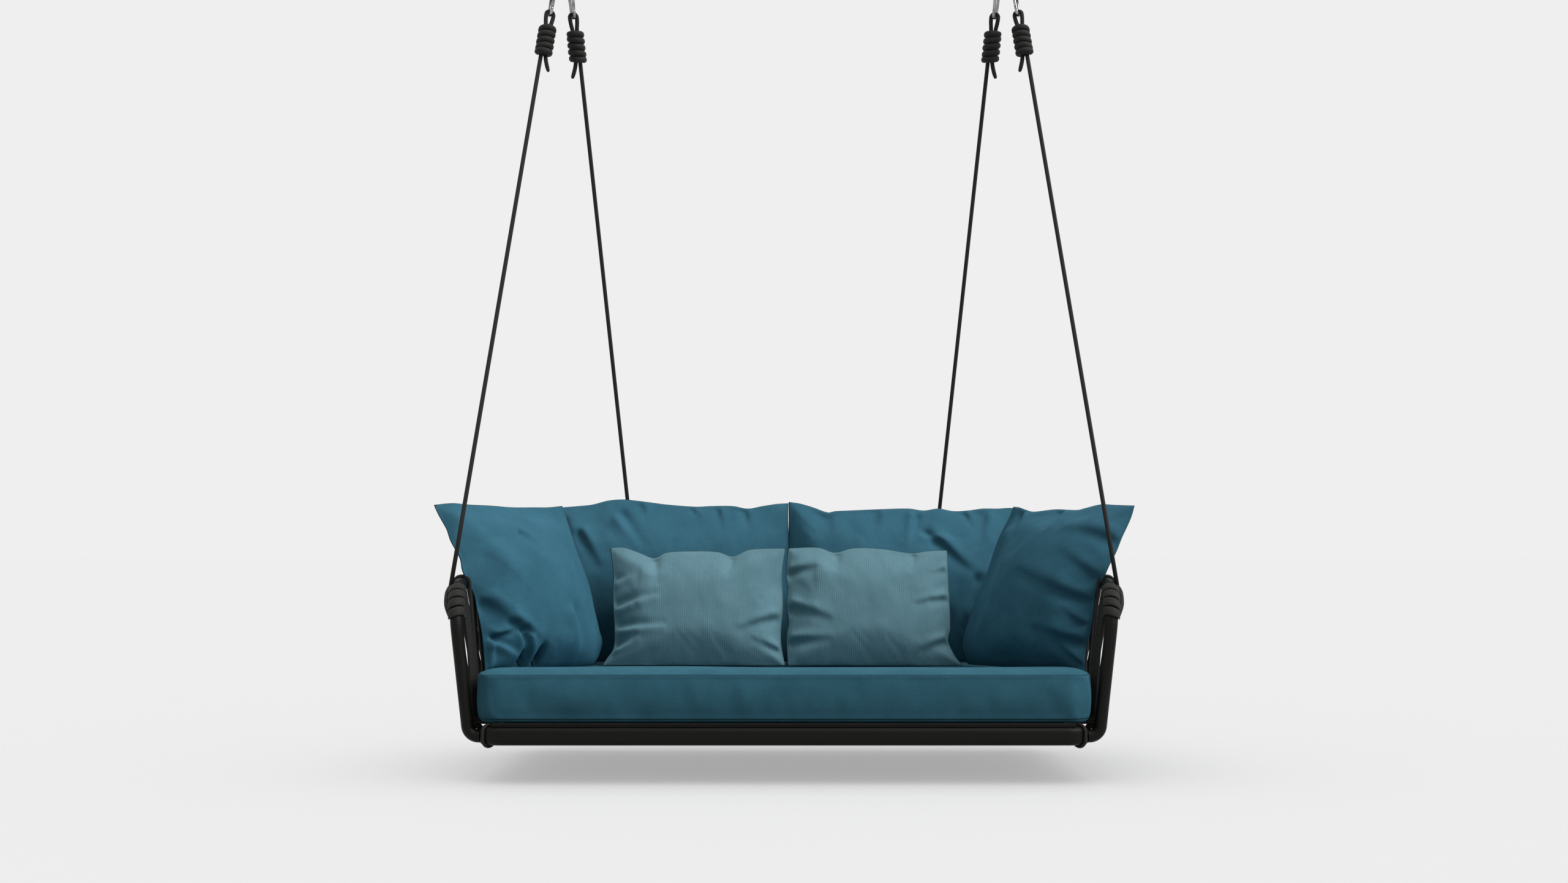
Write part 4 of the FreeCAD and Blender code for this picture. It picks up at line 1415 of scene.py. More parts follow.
@dataclass
class Pillow:
    """An upright sewn cushion: two flat sheets blown up, then fitted between two side edges.

    Attributes:
        node: The CAD node that it replaces.
        width: Width of the cut.
        height: Height of the cut.
        depth: Thickness in the middle.
        left: Gives the left edge's place for a share of the height.
        right: Gives the right edge's place for a share of the height.
        slot: Its material slot.
        fill: How full it is, from 0 to 1; not used.
        back_share: Share of the thickness kept at the back.
        belly: How much thicker it is at the foot than at the top.
        eases: Lengths over which the front rises from the left and the right edge.
        ease_start: Share of the rise, before easing, at those edges.
        cell: Size of the cover's faces.
        swell: Height of the sewn cover's dome before it is blown up.
        puff: How the cover is blown up.
        crumples: Heights of the wide and the fine crumples.
        crumple_fade: Height over which the crumples grow from the seam.
        outline: How its edges wander.
        folds: Its folds, as seen in the photograph.
    """

    node: str
    width: float
    height: float
    depth: float
    left: Callable[[float], Vector]
    right: Callable[[float], Vector]
    slot: Slot
    fill: float = 0.6
    back_share: float = 1.0
    belly: float = 0.3
    eases: tuple[float, float] = (0.02, 0.02)
    ease_start: float = 0.35
    cell: float = 0.0095
    swell: float = 0.02
    puff: Puff = Puff(5.0, 16)
    crumples: tuple[float, float] = (0.0040, 0.0012)
    crumple_fade: float = 0.008
    outline: Outline = Outline()
    folds: tuple[Fold, ...] = ()

    def bag(self) -> bmesh.types.BMesh:
        """Sews the flat cover.

        Returns:
            The cover as a shape, in the plane of its cut.
        """
        shape = new_shape()
        layer = shape.loops.layers.uv[UV_LAYER]
        seam = shape.verts.layers.float[SEAM_LAYER]
        half = Vector((self.width / 2, self.height / 2))
        bmesh.ops.create_grid(shape, x_segments=round(self.width / self.cell),
                              y_segments=round(self.height / self.cell), size=0.5, calc_uvs=True)
        bmesh.ops.scale(shape, vec=(self.width, self.height, 1.0), verts=shape.verts)
        for face in shape.faces:
            for loop in face.loops:
                loop[layer].uv = (loop[layer].uv.x * self.width, loop[layer].uv.y * self.height)
        for vertex in shape.verts:
            vertex[seam] = min(half.x - abs(vertex.co.x), half.y - abs(vertex.co.y))
        front = list(shape.verts)
        copied = bmesh.ops.duplicate(shape, geom=[*shape.verts, *shape.edges, *shape.faces])["geom"]
        rear_faces = [item for item in copied if isinstance(item, bmesh.types.BMFace)]
        bmesh.ops.reverse_faces(shape, faces=rear_faces)
        back = [item for item in copied if isinstance(item, bmesh.types.BMVert)]
        for sheet, way in ((front, 1.0), (back, -1.0)):
            for vertex in sheet:
                vertex.co.z = way * self.swell * self.dome(vertex.co)
        bmesh.ops.remove_doubles(shape, verts=shape.verts, dist=SEWN)
        shape.verts.index_update()
        return shape

    def dome(self, place: Vector) -> float:
        """Gives a soft dome over the cut, nothing at its edges.

        Args:
            place: A place on the cut.

        Returns:
            The dome's height, up to 1.
        """
        across = max(1.0 - (2 * place.x / self.width) ** 2, 0.0)
        up = max(1.0 - (2 * place.y / self.height) ** 2, 0.0)
        return across * up

    def blown(self, shape: bmesh.types.BMesh) -> list[Vector]:
        """Blows the cover up in the cloth simulation.

        Args:
            shape: The flat cover.

        Returns:
            The points' places.
        """
        return self.puff.run(shape)
        flat = [vertex.co for vertex in shape.verts]
        return [Vector((place.x, place.y, math.copysign(abs(place.z) ** 0.6, place.z))) for place in flat]

    def build(self, finish: bpy.types.Material, seat: "SeatSurface") -> bpy.types.Object:
        """Makes the cushion.

        Args:
            finish: Its cloth.
            seat: What it rests on.

        Returns:
            The cushion.
        """
        shape = self.bag()
        flat = [vertex.co.copy() for vertex in shape.verts]
        blown = self.blown(shape)
        thick = max(full.z for full in blown) - min(full.z for full in blown)
        for vertex, full, rest in zip(shape.verts, blown, flat):
            out = full.z / thick * self.depth * (1.0 - self.belly * rest.y / self.height)
            vertex.co = (rest.x, rest.y, out * self.back_share if rest.z < 0 else out)
        self.refine(shape)
        for vertex in shape.verts:
            vertex.co = seat.rest(self.formed(vertex.co))
        piece = new_piece(f"{self.node}_cover", shape)
        settle(piece, finish, self.slot, self.node)
        return piece

    def refine(self, shape: bmesh.types.BMesh) -> None:
        """Gives the blown cover a finer mesh, which the folds need.

        Args:
            shape: The cover over its cut.
        """
        seam = shape.verts.layers.float[SEAM_LAYER]
        bmesh.ops.subdivide_edges(shape, edges=shape.edges[:], cuts=1, use_grid_fill=True)
        loose = [vertex for vertex in shape.verts if vertex[seam] > 1e-5]
        for _ in range(2):
            bmesh.ops.smooth_vert(shape, verts=loose, factor=0.5, use_axis_z=True)

    def formed(self, place: Vector) -> Vector:
        """Folds a point of the blown cover and fits it in its place.

        Args:
            place: Its place over the cut.

        Returns:
            Its place in the part's frame.
        """
        across, up, out = place.x / self.width + 0.5, place.y / self.height + 0.5, place.z
        lift = 0.0
        if out > 0:
            out *= smooth(self.ease_start + across * self.width / self.eases[0])
            out *= smooth(self.ease_start + (1.0 - across) * self.width / self.eases[1])
            lift = sum(fold.lift(across, up, (self.width, self.height)) for fold in self.folds)
        seed = self.left(0.0).x * 7 + math.copysign(3.0, out)
        lift += noise.noise(Vector((place.x * 11, place.y * 11, seed))) * self.crumples[0]
        lift += noise.noise(Vector((place.x * 31, place.y * 23, seed))) * self.crumples[1]
        return self.fitted(across, up, out + lift * min(abs(out) / self.crumple_fade, 1.0))

    def fitted(self, across: float, up: float, out: float) -> Vector:
        """Fits a place of the cover between the cushion's side edges.

        Args:
            across: Share of the width.
            up: Share of the height.
            out: Distance in front of the middle sheet.

        Returns:
            The place in the part's frame.
        """
        left, right = self.left(up), self.right(up)
        step = 0.02
        rise = (self.left(up + step).lerp(self.right(up + step), across)
                - self.left(up - step).lerp(self.right(up - step), across))
        normal = (right - left).cross(rise).normalized()
        aside, lift = self.outline.wander(across, up)
        place = left.lerp(right, across) + normal * out
        return place + (right - left).normalized() * aside + rise.normalized() * lift


@dataclass
class SeatSurface:
    """The top of the seat cushion, on which the others rest."""

    tree: BVHTree
    clearance: float = 0.0008
    softness: float = 0.006
    ray_start: float = 0.5
    soft_limit: float = 20.0

    def rest(self, place: Vector) -> Vector:
        """Lifts a point that would sink into the seat.

        Args:
            place: A point of a cushion.

        Returns:
            The point, on or above the seat.
        """
        above = Vector((place.x, place.y, place.z + self.ray_start))
        hit = self.tree.ray_cast(above, Vector((0, 0, -1)))[0]
        if hit is None:
            return place
        gap = (place.z - hit.z - self.clearance) / self.softness
        lifted = self.softness * (math.log1p(math.exp(gap)) if gap < self.soft_limit else gap)
        return Vector((place.x, place.y, hit.z + self.clearance + lifted))


@dataclass
class SeatCushion:
    """The long seat cushion: a boxed cover with a seam round its top and bottom.

    Its front crest is puffed up, and it dips where the other cushions rest on it.
    """

    width: float = 1.664
    length: float = 0.792
    corner: float = 0.080
    rows: tuple[float, ...] = (0.0, 0.0095, 0.020, 0.032, 0.046, 0.060, 0.074, 0.088, 0.101, 0.112, 0.121,
                               0.1277)
    insets: tuple[float, ...] = (0.017, 0.0095, 0.006, 0.003, 0.001, 0.0, 0.0, 0.001, 0.0025, 0.0045, 0.0065,
                                 0.0085)
    inset_reach: float = 0.05
    sag: float = 0.0022
    crest: float = 0.019
    crest_reach: float = 0.020
    dip: float = 0.029
    dip_start: float = 0.10
    dip_end: float = 0.38
    ripple: float = 0.0050
    cell: float = 0.013
    puff: Puff = Puff(4.0, 14, 12.0, 0.4)
    puff_limit: float = 0.004

    def rounded(self, place: Vector) -> Vector:
        """Rounds the plan's corners.

        Args:
            place: A place on the square plan.

        Returns:
            The place on the rounded plan.
        """
        half_x, half_y = self.width / 2 - self.corner, self.length / 2 - self.corner
        over = Vector((abs(place.x) - half_x, abs(place.y) - half_y))
        if over.x <= 0 or over.y <= 0:
            return place
        u, v = over.x / self.corner, over.y / self.corner
        x = half_x + self.corner * u * math.sqrt(1 - v * v / 2)
        y = half_y + self.corner * v * math.sqrt(1 - u * u / 2)
        return Vector((math.copysign(x, place.x), math.copysign(y, place.y), place.z))

    def box(self) -> bmesh.types.BMesh:
        """Sews the boxed cover.

        Returns:
            The cover as a shape, about its own middle, with rows a metre apart.
        """
        shape = new_shape()
        bmesh.ops.create_grid(shape, x_segments=round(self.width / self.cell),
                              y_segments=round(self.length / self.cell), size=0.5)
        bmesh.ops.scale(shape, vec=(self.width, self.length, 1.0), verts=shape.verts)
        for vertex in shape.verts:
            vertex.co = self.rounded(vertex.co)
        bmesh.ops.reverse_faces(shape, faces=shape.faces)
        grown = bmesh.ops.extrude_face_region(shape, geom=shape.faces[:], use_keep_orig=True)["geom"]
        upper = {item for item in grown if isinstance(item, bmesh.types.BMVert)}
        last = len(self.rows) - 1
        bmesh.ops.translate(shape, vec=(0, 0, last), verts=list(upper))
        uprights = [edge for edge in shape.edges if len(upper.intersection(edge.verts)) == 1]
        bmesh.ops.subdivide_edges(shape, edges=uprights, cuts=last - 1, use_grid_fill=True)
        shape.verts.index_update()
        return shape

    def edge_gap(self, place: Vector) -> float:
        """Finds how far a place of the plan lies inside its edge.

        Args:
            place: The place.

        Returns:
            The distance, 0 on the edge.
        """
        over_x = abs(place.x) - (self.width / 2 - self.corner)
        over_y = abs(place.y) - (self.length / 2 - self.corner)
        if over_x > 0 and over_y > 0:
            return max(self.corner - math.hypot(over_x, over_y), 0.0)
        return max(self.corner - max(over_x, over_y), 0.0)

    def outward(self, place: Vector) -> Vector:
        """Finds the plan's outward direction at its edge.

        Args:
            place: A place near the edge.

        Returns:
            A level unit direction.
        """
        half_x, half_y = self.width / 2 - self.corner, self.length / 2 - self.corner
        over = Vector((max(abs(place.x) - half_x, 0.0), max(abs(place.y) - half_y, 0.0), 0.0))
        if over.length < 1e-6:
            return Vector((0.0, 0.0, 0.0))
        over.normalize()
        return Vector((math.copysign(over.x, place.x), math.copysign(over.y, place.y), 0.0))

    def formed(self, place: Vector) -> tuple[Vector, float]:
        """Forms a point of the sewn box.

        Args:
            place: Its place on the box, with its row as its height.

        Returns:
            Its place on the cushion and its distance from the nearest seam.
        """
        row, last = round(place.z), len(self.rows) - 1
        gap = self.edge_gap(place)
        height = self.rows[row]
        inset = self.insets[row] * math.exp(-gap / self.inset_reach)
        flat = Vector((place.x, place.y, height)) - self.outward(place) * inset
        if row == last:
            behind_front = place.y + self.length / 2
            dip = self.dip * smooth((behind_front - self.dip_start) / (self.dip_end - self.dip_start))
            sag = noise.noise(Vector((place.x * 3.1, place.y * 3.1, 0.4))) * self.sag
            flat.z += (self.crest - dip + sag) * (1 - math.exp(-gap / self.crest_reach))
            return flat, gap
        if row == 0:
            return flat, gap + self.rows[1]
        ripple = noise.noise(Vector((place.x * 13, place.y * 13, height * 6)))
        ripple += 0.5 * noise.noise(Vector((place.x * 31, place.y * 31, height * 11)))
        flat += self.outward(place) * (ripple * self.ripple * math.sin(math.pi * height / self.rows[last]))
        return flat, min(abs(height - self.rows[1]), self.rows[last] - height)

    def build(self, palette: Palette) -> bpy.types.Object:
        """Makes the seat cushion.

        Args:
            palette: The finishes.

        Returns:
            The cushion.
        """
        shape = self.box()
        seam = shape.verts.layers.float[SEAM_LAYER]
        base = spot(0, 0, PAD_BASE)
        pins = {}
        for vertex in shape.verts:
            row = round(vertex.co.z)
            vertex.co, vertex[seam] = self.formed(vertex.co)
            if row <= 1 or vertex[seam] < 1e-4:
                pins[vertex.index] = 1.0
        for vertex, full in zip(shape.verts, self.puff.run(shape, pins)):
            move = full - vertex.co
            if move.length > self.puff_limit:
                move *= self.puff_limit / move.length
            vertex.co += move
        bmesh.ops.translate(shape, vec=base, verts=shape.verts)
        self.lay_map(shape)
        piece = new_piece("seat_cushion_cover", shape)
        rounding = piece.modifiers.new("rounding", "SUBSURF")
        rounding.levels = rounding.render_levels = 1
        # The seat takes the teal weave darkened as painted shade.
        settle(piece, palette.seat, Slot.CLOTH, "seat_cushion")
        return piece

    def lay_map(self, shape: bmesh.types.BMesh) -> None:
        """Lays the cloth's map on the cover from its three main directions.

        Args:
            shape: The cover in its place.
        """
        layer = shape.loops.layers.uv[UV_LAYER]
        for face in shape.faces:
            face.normal_update()
            steep = face.normal
            for loop in face.loops:
                x, y, z = loop.vert.co
                if abs(steep.z) > 0.6:
                    loop[layer].uv = (x, y)
                elif abs(steep.y) > abs(steep.x):
                    loop[layer].uv = (x, z)
                else:
                    loop[layer].uv = (y, z)


# Sub-assemblies


@dataclass
class Suspension:
    """The four ropes with their knots, and the windings where they are made fast.

    The front lead is the rope's end on the arm turns, as degrees round the bend and distances
    from the tube's middle.
    """

    hook_span: float = 0.650
    hook_gap: float = 0.050
    front_top: float = math.radians(66.0)
    front_low: float = math.radians(20.0)
    front_lead: Row = ((79.0, 0.0238), (71.0, 0.0248), (61.0, 0.0278), (48.0, 0.0280), (37.0, 0.0272),
                       (29.0, 0.0225), (23.0, 0.0180))
    turns: int = 4
    rear_pitch: float = 0.0197
    rear_start: float = 0.4833

    def ropes(self) -> list[HangingRope]:
        """Lists the ropes.

        Returns:
            The four ropes.
        """
        found = []
        for side in Side:
            way = side.value
            centre, outward = arm_frame(side, ROPE_SEAT_TURN)[:2]
            found.append(HangingRope(f"front_{side.word}",
                                     Vector((way * (self.hook_span + self.hook_gap / 2), 0, -PIVOT_DROP)),
                                     centre + outward * ROPE_SEAT_OFF, -way))
            found.append(HangingRope(f"rear_{side.word}",
                                     Vector((way * (self.hook_span - self.hook_gap / 2), 0, -PIVOT_DROP)),
                                     spot(way * REAR_ROPE_X, BACK_Y + ROPE_SEAT_OFF, ARM_HEIGHT), way))
        return found

    def front_station(self, side: Side, share: float) -> Station:
        """Finds a place on the arm bend under the front turns.

        Args:
            side: The sofa's end.
            share: Share of the winding.

        Returns:
            The tube's middle, its outward side, its upper side and the turns' pitch.
        """
        span = self.front_top - self.front_low
        middle, outward, radial = arm_frame(side, self.front_top - span * share)
        return middle, outward, radial, span * ARM_BEND / self.turns

    def rear_station(self, side: Side, share: float) -> Station:
        """Finds a place on the back tube under the rear turns."""
        x = side.value * (self.rear_start + self.turns * self.rear_pitch * share)
        return spot(x, BACK_Y, ARM_HEIGHT), Vector((0, 1, 0)), Vector((0, 0, 1)), self.rear_pitch

    def lead_places(self, side: Side) -> list[Vector]:
        """Lists the places of a front rope's end on its turns.

        Args:
            side: The sofa's end.

        Returns:
            Points in the part's frame.
        """
        points = []
        for turn, off in self.front_lead:
            middle, outward, _ = arm_frame(side, math.radians(turn))
            points.append(middle + outward * off)
        return points

    def windings(self) -> list[Winding]:
        """Lists the windings.

        Returns:
            The front and rear winding of each end.
        """
        found = []
        for side in Side:
            found.append(Winding(f"arm_winding_{side.word}", f"arm_rope_turns_{side.word}",
                                 partial(self.front_station, side), self.lead_places(side), self.turns))
            found.append(Winding(f"back_winding_{side.word}", f"back_rope_turns_{side.word}",
                                 partial(self.rear_station, side), turns=self.turns))
        return found

    def build(self, palette: Palette) -> None:
        """Makes the suspension.

        Args:
            palette: The finishes.
        """
        for rope in self.ropes():
            rope.build(palette, CoiledKnot(rope).build(palette))
        for winding in self.windings():
            winding.build(palette)


@dataclass
class Netting:
    """The nets of both arms, round their rear corners, and of the back."""

    pitch: float = 0.052
    bend_angles: tuple[float, ...] = (22.0, 34.0, 46.0, 58.0, 70.0)
    rail_start: float = 0.012
    rod_start: float = 0.036
    post_gap: float = 0.022
    under_turns: tuple[float, float] = (-0.016, 0.118)
    corner_steps: int = 9

    def corner_line(self, side: Side, reach_x: float, reach_y: float, height: float, first_y: float,
                    last_x: float) -> list[Anchor]:
        """Draws the line of a tube from an arm round the rear corner to the back.

        Args:
            side: The sofa's end.
            reach_x: The arm's distance from the middle.
            reach_y: The back's distance from the middle.
            height: The line's height.
            first_y: Where it starts on the arm.
            last_x: Where it ends on the back.

        Returns:
            Places along the line.
        """
        way = side.value
        hub_x, hub_y = reach_x - REAR_CORNER, reach_y - REAR_CORNER
        upper = Vector((0, 0, 1))
        line = [Anchor(spot(way * reach_x, first_y, height), Vector((way, 0, 0)), upper)]
        for step in range(self.corner_steps + 1):
            angle = math.radians(90.0 / self.corner_steps * step)
            out = Vector((way * math.cos(angle), math.sin(angle), 0))
            line.append(Anchor(spot(way * hub_x, hub_y, height) + out * REAR_CORNER, out, upper))
        line.append(Anchor(spot(way * last_x, reach_y, height), Vector((0, 1, 0)), upper))
        return line

    def stations(self, line: list[Anchor], count: int) -> list[Anchor]:
        """Sets turning places evenly along a line.

        Args:
            line: Places along the line.
            count: How many turning places.

        Returns:
            The turning places.
        """
        panel = NetPanel("", "", [], line)
        found = []
        for index in range(count):
            place = panel.low_at(index / (count - 1))
            past_rope = abs(place.point.x) - REAR_ROPE_X
            bound = place.outward.y > 0.9 and self.under_turns[0] < past_rope < self.under_turns[1]
            found.append(Anchor(place.point, place.outward, Vector((0, 0, 1)), bound))
        return found

    def arm(self, side: Side) -> NetPanel:
        """Plans the net of an arm.

        Args:
            side: The sofa's end.

        Returns:
            The panel.
        """
        tops = []
        for angle in self.bend_angles:
            middle, outward, radial = arm_frame(side, math.radians(angle))
            tops.append(Anchor(middle, outward, radial, True))
        edge = POST_X + self.post_gap
        rail = self.corner_line(side, ARM_X, BACK_Y, ARM_HEIGHT, LEG_Y + ARM_BEND + self.rail_start, edge)
        run = running_lengths([place.point for place in rail])[-1]
        tops += self.stations(rail, round(run / self.pitch) + 1)
        lows = self.corner_line(side, ROD_X, ROD_BACK_Y, ROD_HEIGHT, LEG_Y + self.rod_start, edge)
        return NetPanel(f"arm_netting_{side.word}", f"arm_net_{side.word}", tops, lows,
                        len(self.bend_angles))

    def back(self) -> NetPanel:
        """Plans the net of the back.

        Returns:
            The panel.
        """
        edge = POST_X - self.post_gap
        out, upper = Vector((0, 1, 0)), Vector((0, 0, 1))
        rail = [Anchor(spot(way * edge, BACK_Y, ARM_HEIGHT), out, upper) for way in (-1, 1)]
        lows = [Anchor(spot(way * edge, ROD_BACK_Y, ROD_HEIGHT), out, upper) for way in (-1, 1)]
        tops = self.stations(rail, round(2 * edge / self.pitch) + 1)
        return NetPanel("back_netting", "back_net", tops, lows)

    def build(self, palette: Palette) -> None:
        """Makes the nets.

        Args:
            palette: The finishes.
        """
        for side in Side:
            self.arm(side).build(palette)
        self.back().build(palette)


@dataclass
class SeatTrim:
    """The cord rings and lashings in the seat frame's corners, and the near-black strips on its rails, which
    are painted shade under the seat cushion's edges.
    """

    shade_strip_y: float = 0.3865

    def build(self, palette: Palette) -> None:
        """Makes the trim.

        Args:
            palette: The finishes.
        """
        for side in Side:
            CornerRing(side).build(palette)
            CornerLashing(side).build(palette)
        ShadeStrip("front", -self.shade_strip_y).build(palette)
        ShadeStrip("back", self.shade_strip_y).build(palette)


# Edges and folds of the cushions, measured in the photograph: shares of the cut, and offsets in metres
BACK_OUTLINES = {
    Side.LEFT: Outline(
        top=((0.0, -0.016), (0.1, -0.008), (0.163, -0.004), (0.223, 0.001), (0.283, 0.013), (0.343, 0.017),
             (0.403, 0.013), (0.463, 0.007), (0.522, 0.001), (0.64, -0.006), (0.698, -0.004),
             (0.785, -0.004), (0.843, -0.012), (0.9, -0.004), (0.957, 0.003), (1.0, 0.005)),
        right=((0.0, 0.0203), (0.6, 0.0205), (0.82, 0.0205), (0.9, 0.0192), (1.0, 0.0202))),
    Side.RIGHT: Outline(
        top=((0.0, 0.009), (0.041, 0.005), (0.072, -0.001), (0.103, -0.008), (0.165, -0.024),
             (0.196, -0.020), (0.258, -0.018), (0.381, -0.014), (0.503, -0.012), (0.564, -0.018),
             (0.625, -0.012), (0.686, -0.020), (0.746, -0.018), (0.807, -0.012), (0.867, -0.012),
             (0.928, -0.010), (1.0, -0.020)),
        left=((0.0, 0.0086), (0.6, 0.0085), (1.0, 0.0086))),
}
LUMBAR_OUTLINES = {
    Side.LEFT: Outline(
        top=((0.0, -0.005), (0.082, -0.004), (0.169, -0.020), (0.251, -0.036), (0.317, -0.020),
             (0.501, -0.015), (0.621, -0.018), (0.701, -0.031), (0.794, -0.011), (1.0, -0.006)),
        left=((0.0, -0.026), (0.024, -0.022), (0.069, -0.012), (0.154, 0.007), (0.305, 0.009),
              (0.609, 0.001), (0.762, 0.002), (1.0, -0.010)),
        right=((0.0, 0.007), (0.228, -0.006), (0.493, 0.0), (0.8, -0.002), (1.0, 0.007))),
    Side.RIGHT: Outline(
        top=((0.0, -0.006), (0.189, -0.004), (0.288, -0.019), (0.402, -0.006), (0.574, -0.008),
             (0.765, -0.021), (0.872, -0.015), (1.0, -0.012)),
        left=((0.0, 0.008), (0.245, 0.004), (0.36, 0.010), (0.533, 0.004), (0.649, 0.008), (0.752, 0.002),
              (1.0, 0.009)),
        right=((0.0, 0.016), (0.024, 0.011), (0.104, -0.009), (0.219, -0.026), (0.32, -0.019),
               (0.787, -0.022), (1.0, -0.023))),
}
CORNER_OUTLINES = {
    Side.LEFT: Outline(
        top=((0.0, 0.003), (0.151, 0.009), (0.267, 0.006), (0.439, 0.004), (0.61, 0.0), (0.78, 0.001),
             (0.893, 0.002), (1.0, 0.007)),
        bottom=((0.0, 0.0), (0.2, 0.0), (0.24, 0.008), (0.275, 0.046), (0.30, 0.042), (0.35, 0.0),
                (0.38, 0.0), (0.415, 0.048), (0.435, 0.050), (0.475, 0.0), (1.0, 0.0)),
        left=((0.0, 0.010), (0.213, 0.011), (0.286, 0.007), (0.359, 0.001), (0.468, -0.006),
              (0.541, -0.020), (0.613, -0.027), (0.685, -0.012), (0.794, -0.004), (0.866, 0.009),
              (1.0, 0.014)),
        right=((0.0, 0.036), (0.139, 0.034), (0.229, 0.018), (0.376, 0.008), (0.549, 0.017), (0.77, 0.013),
               (0.927, 0.020), (1.0, 0.012))),
    Side.RIGHT: Outline(
        top=((0.0, 0.004), (0.053, 0.002), (0.119, -0.006), (0.185, -0.012), (0.373, -0.006),
             (0.554, -0.009), (0.613, -0.004), (0.73, 0.006), (0.846, 0.004), (1.0, 0.001)),
        left=((0.0, -0.060), (0.108, -0.054), (0.272, -0.024), (0.537, -0.001), (0.833, 0.002),
              (1.0, 0.018)),
        right=((0.0, -0.004), (0.166, -0.007), (0.25, 0.004), (0.323, 0.012), (0.468, 0.012),
               (0.523, 0.018), (0.577, 0.030), (0.649, 0.030), (0.721, 0.026), (0.794, 0.015),
               (0.866, 0.006), (1.0, -0.012))),
}
BACK_FOLDS = {
    Side.LEFT: (
        Fold((0.322, 0.914), (0.423, 0.711), -0.013, 0.014),
        Fold((0.177, 0.836), (0.263, 0.594), 0.013, 0.014),
        Fold((0.621, 1.0), (0.658, 0.926), 0.006, 0.010), Fold((0.729, 1.0), (0.754, 0.836), 0.006, 0.011),
        Fold((0.837, 1.0), (0.854, 0.859), 0.007, 0.012),
        Fold((0.114, 0.945), (0.174, 0.691), 0.009, 0.018),
        Fold((0.42, 1.0), (0.445, 0.906), 0.006, 0.012)),
    Side.RIGHT: (
        Fold((0.151, 0.985), (0.143, 0.723), 0.012, 0.030, FoldKind.TUCK),
        Fold((0.528, 0.972), (0.496, 0.737), -0.011, 0.012),
        Fold((0.537, 0.805), (0.694, 0.774), -0.009, 0.013),
        Fold((0.568, 0.837), (0.762, 0.527), 0.015, 0.017),
        Fold((0.762, 0.547), (0.665, 0.215), -0.01, 0.020),
        Fold((0.732, 1.0), (0.759, 0.886), 0.007, 0.010), Fold((0.385, 1.0), (0.364, 0.836), 0.006, 0.016),
        Fold((0.824, 0.975), (0.79, 0.727), 0.008, 0.018)),
}
LUMBAR_FOLDS = {
    Side.LEFT: (
        Fold((0.0, 0.471), (0.251, 0.576), -0.013, 0.012),
        Fold((0.0, 0.304), (0.298, 0.319), -0.012, 0.011),
        Fold((0.01, 0.136), (0.136, 0.23), -0.013, 0.010),
        Fold((0.988, 0.424), (0.758, 0.304), -0.011, 0.012),
        Fold((0.996, 0.131), (0.845, 0.215), -0.008, 0.010),
        Fold((0.255, 1.0), (0.266, 0.707), 0.010, 0.012, FoldKind.TUCK),
        Fold((0.703, 1.0), (0.684, 0.78), 0.008, 0.011, FoldKind.TUCK),
        Fold((0.172, 0.848), (0.141, 0.403), 0.007, 0.030),
        Fold((0.0, 0.691), (0.103, 0.743), -0.008, 0.011)),
    Side.RIGHT: (
        Fold((0.0, 0.791), (0.186, 0.829), 0.011, 0.012), Fold((0.0, 0.518), (0.245, 0.388), 0.013, 0.013),
        Fold((0.0, 0.215), (0.248, 0.22), 0.012, 0.012), Fold((1.0, 0.582), (0.777, 0.512), -0.009, 0.010),
        Fold((1.0, 0.227), (0.805, 0.137), -0.013, 0.011),
        Fold((0.3, 1.0), (0.314, 0.809), 0.008, 0.012, FoldKind.TUCK),
        Fold((0.779, 1.0), (0.761, 0.818), 0.008, 0.012, FoldKind.TUCK),
        Fold((0.178, 0.85), (0.159, 0.404), 0.006, 0.028),
        Fold((1.0, 0.83), (0.896, 0.787), -0.006, 0.010)),
}
CORNER_FOLDS = {
    Side.LEFT: (
        Fold((0.03, 0.461), (0.238, 0.263), 0.014, 0.019),
        Fold((0.167, 0.328), (0.383, 0.202), 0.011, 0.012),
        Fold((0.054, 0.225), (0.239, 0.267), 0.011, 0.009),
        Fold((0.024, 0.21), (0.243, 0.103), -0.012, 0.010),
        Fold((0.232, 0.259), (0.295, 0.073), -0.011, 0.010),
        Fold((0.299, 0.218), (0.349, 0.057), 0.010, 0.009),
        Fold((0.281, 0.0), (0.291, 0.08), 0.022, 0.010, FoldKind.TUCK),
        Fold((0.427, 0.0), (0.437, 0.103), 0.022, 0.010, FoldKind.TUCK),
        Fold((0.68, 0.378), (0.791, 0.042), -0.009, 0.018),
        Fold((0.125, 0.693), (0.344, 0.454), 0.007, 0.024),
        Fold((0.439, 0.797), (0.533, 0.733), 0.005, 0.012),
        Fold((0.058, 0.179), (0.056, 0.019), -0.009, 0.010)),
    Side.RIGHT: (
        Fold((1.0, 0.442), (0.462, 0.574), -0.012, 0.016),
        Fold((1.0, 0.196), (0.679, 0.266), -0.012, 0.014), Fold((1.0, 0.05), (0.819, 0.196), -0.011, 0.011),
        Fold((1.0, 0.794), (0.638, 0.827), -0.008, 0.016), Fold((0.112, 1.0), (0.186, 0.83), 0.008, 0.012),
        Fold((0.465, 1.0), (0.476, 0.851), 0.007, 0.014), Fold((1.0, 0.572), (0.729, 0.673), -0.008, 0.013),
        Fold((0.028, 0.838), (0.235, 0.606), 0.007, 0.022),
        Fold((0.969, 0.296), (0.848, 0.373), -0.008, 0.010)),
}


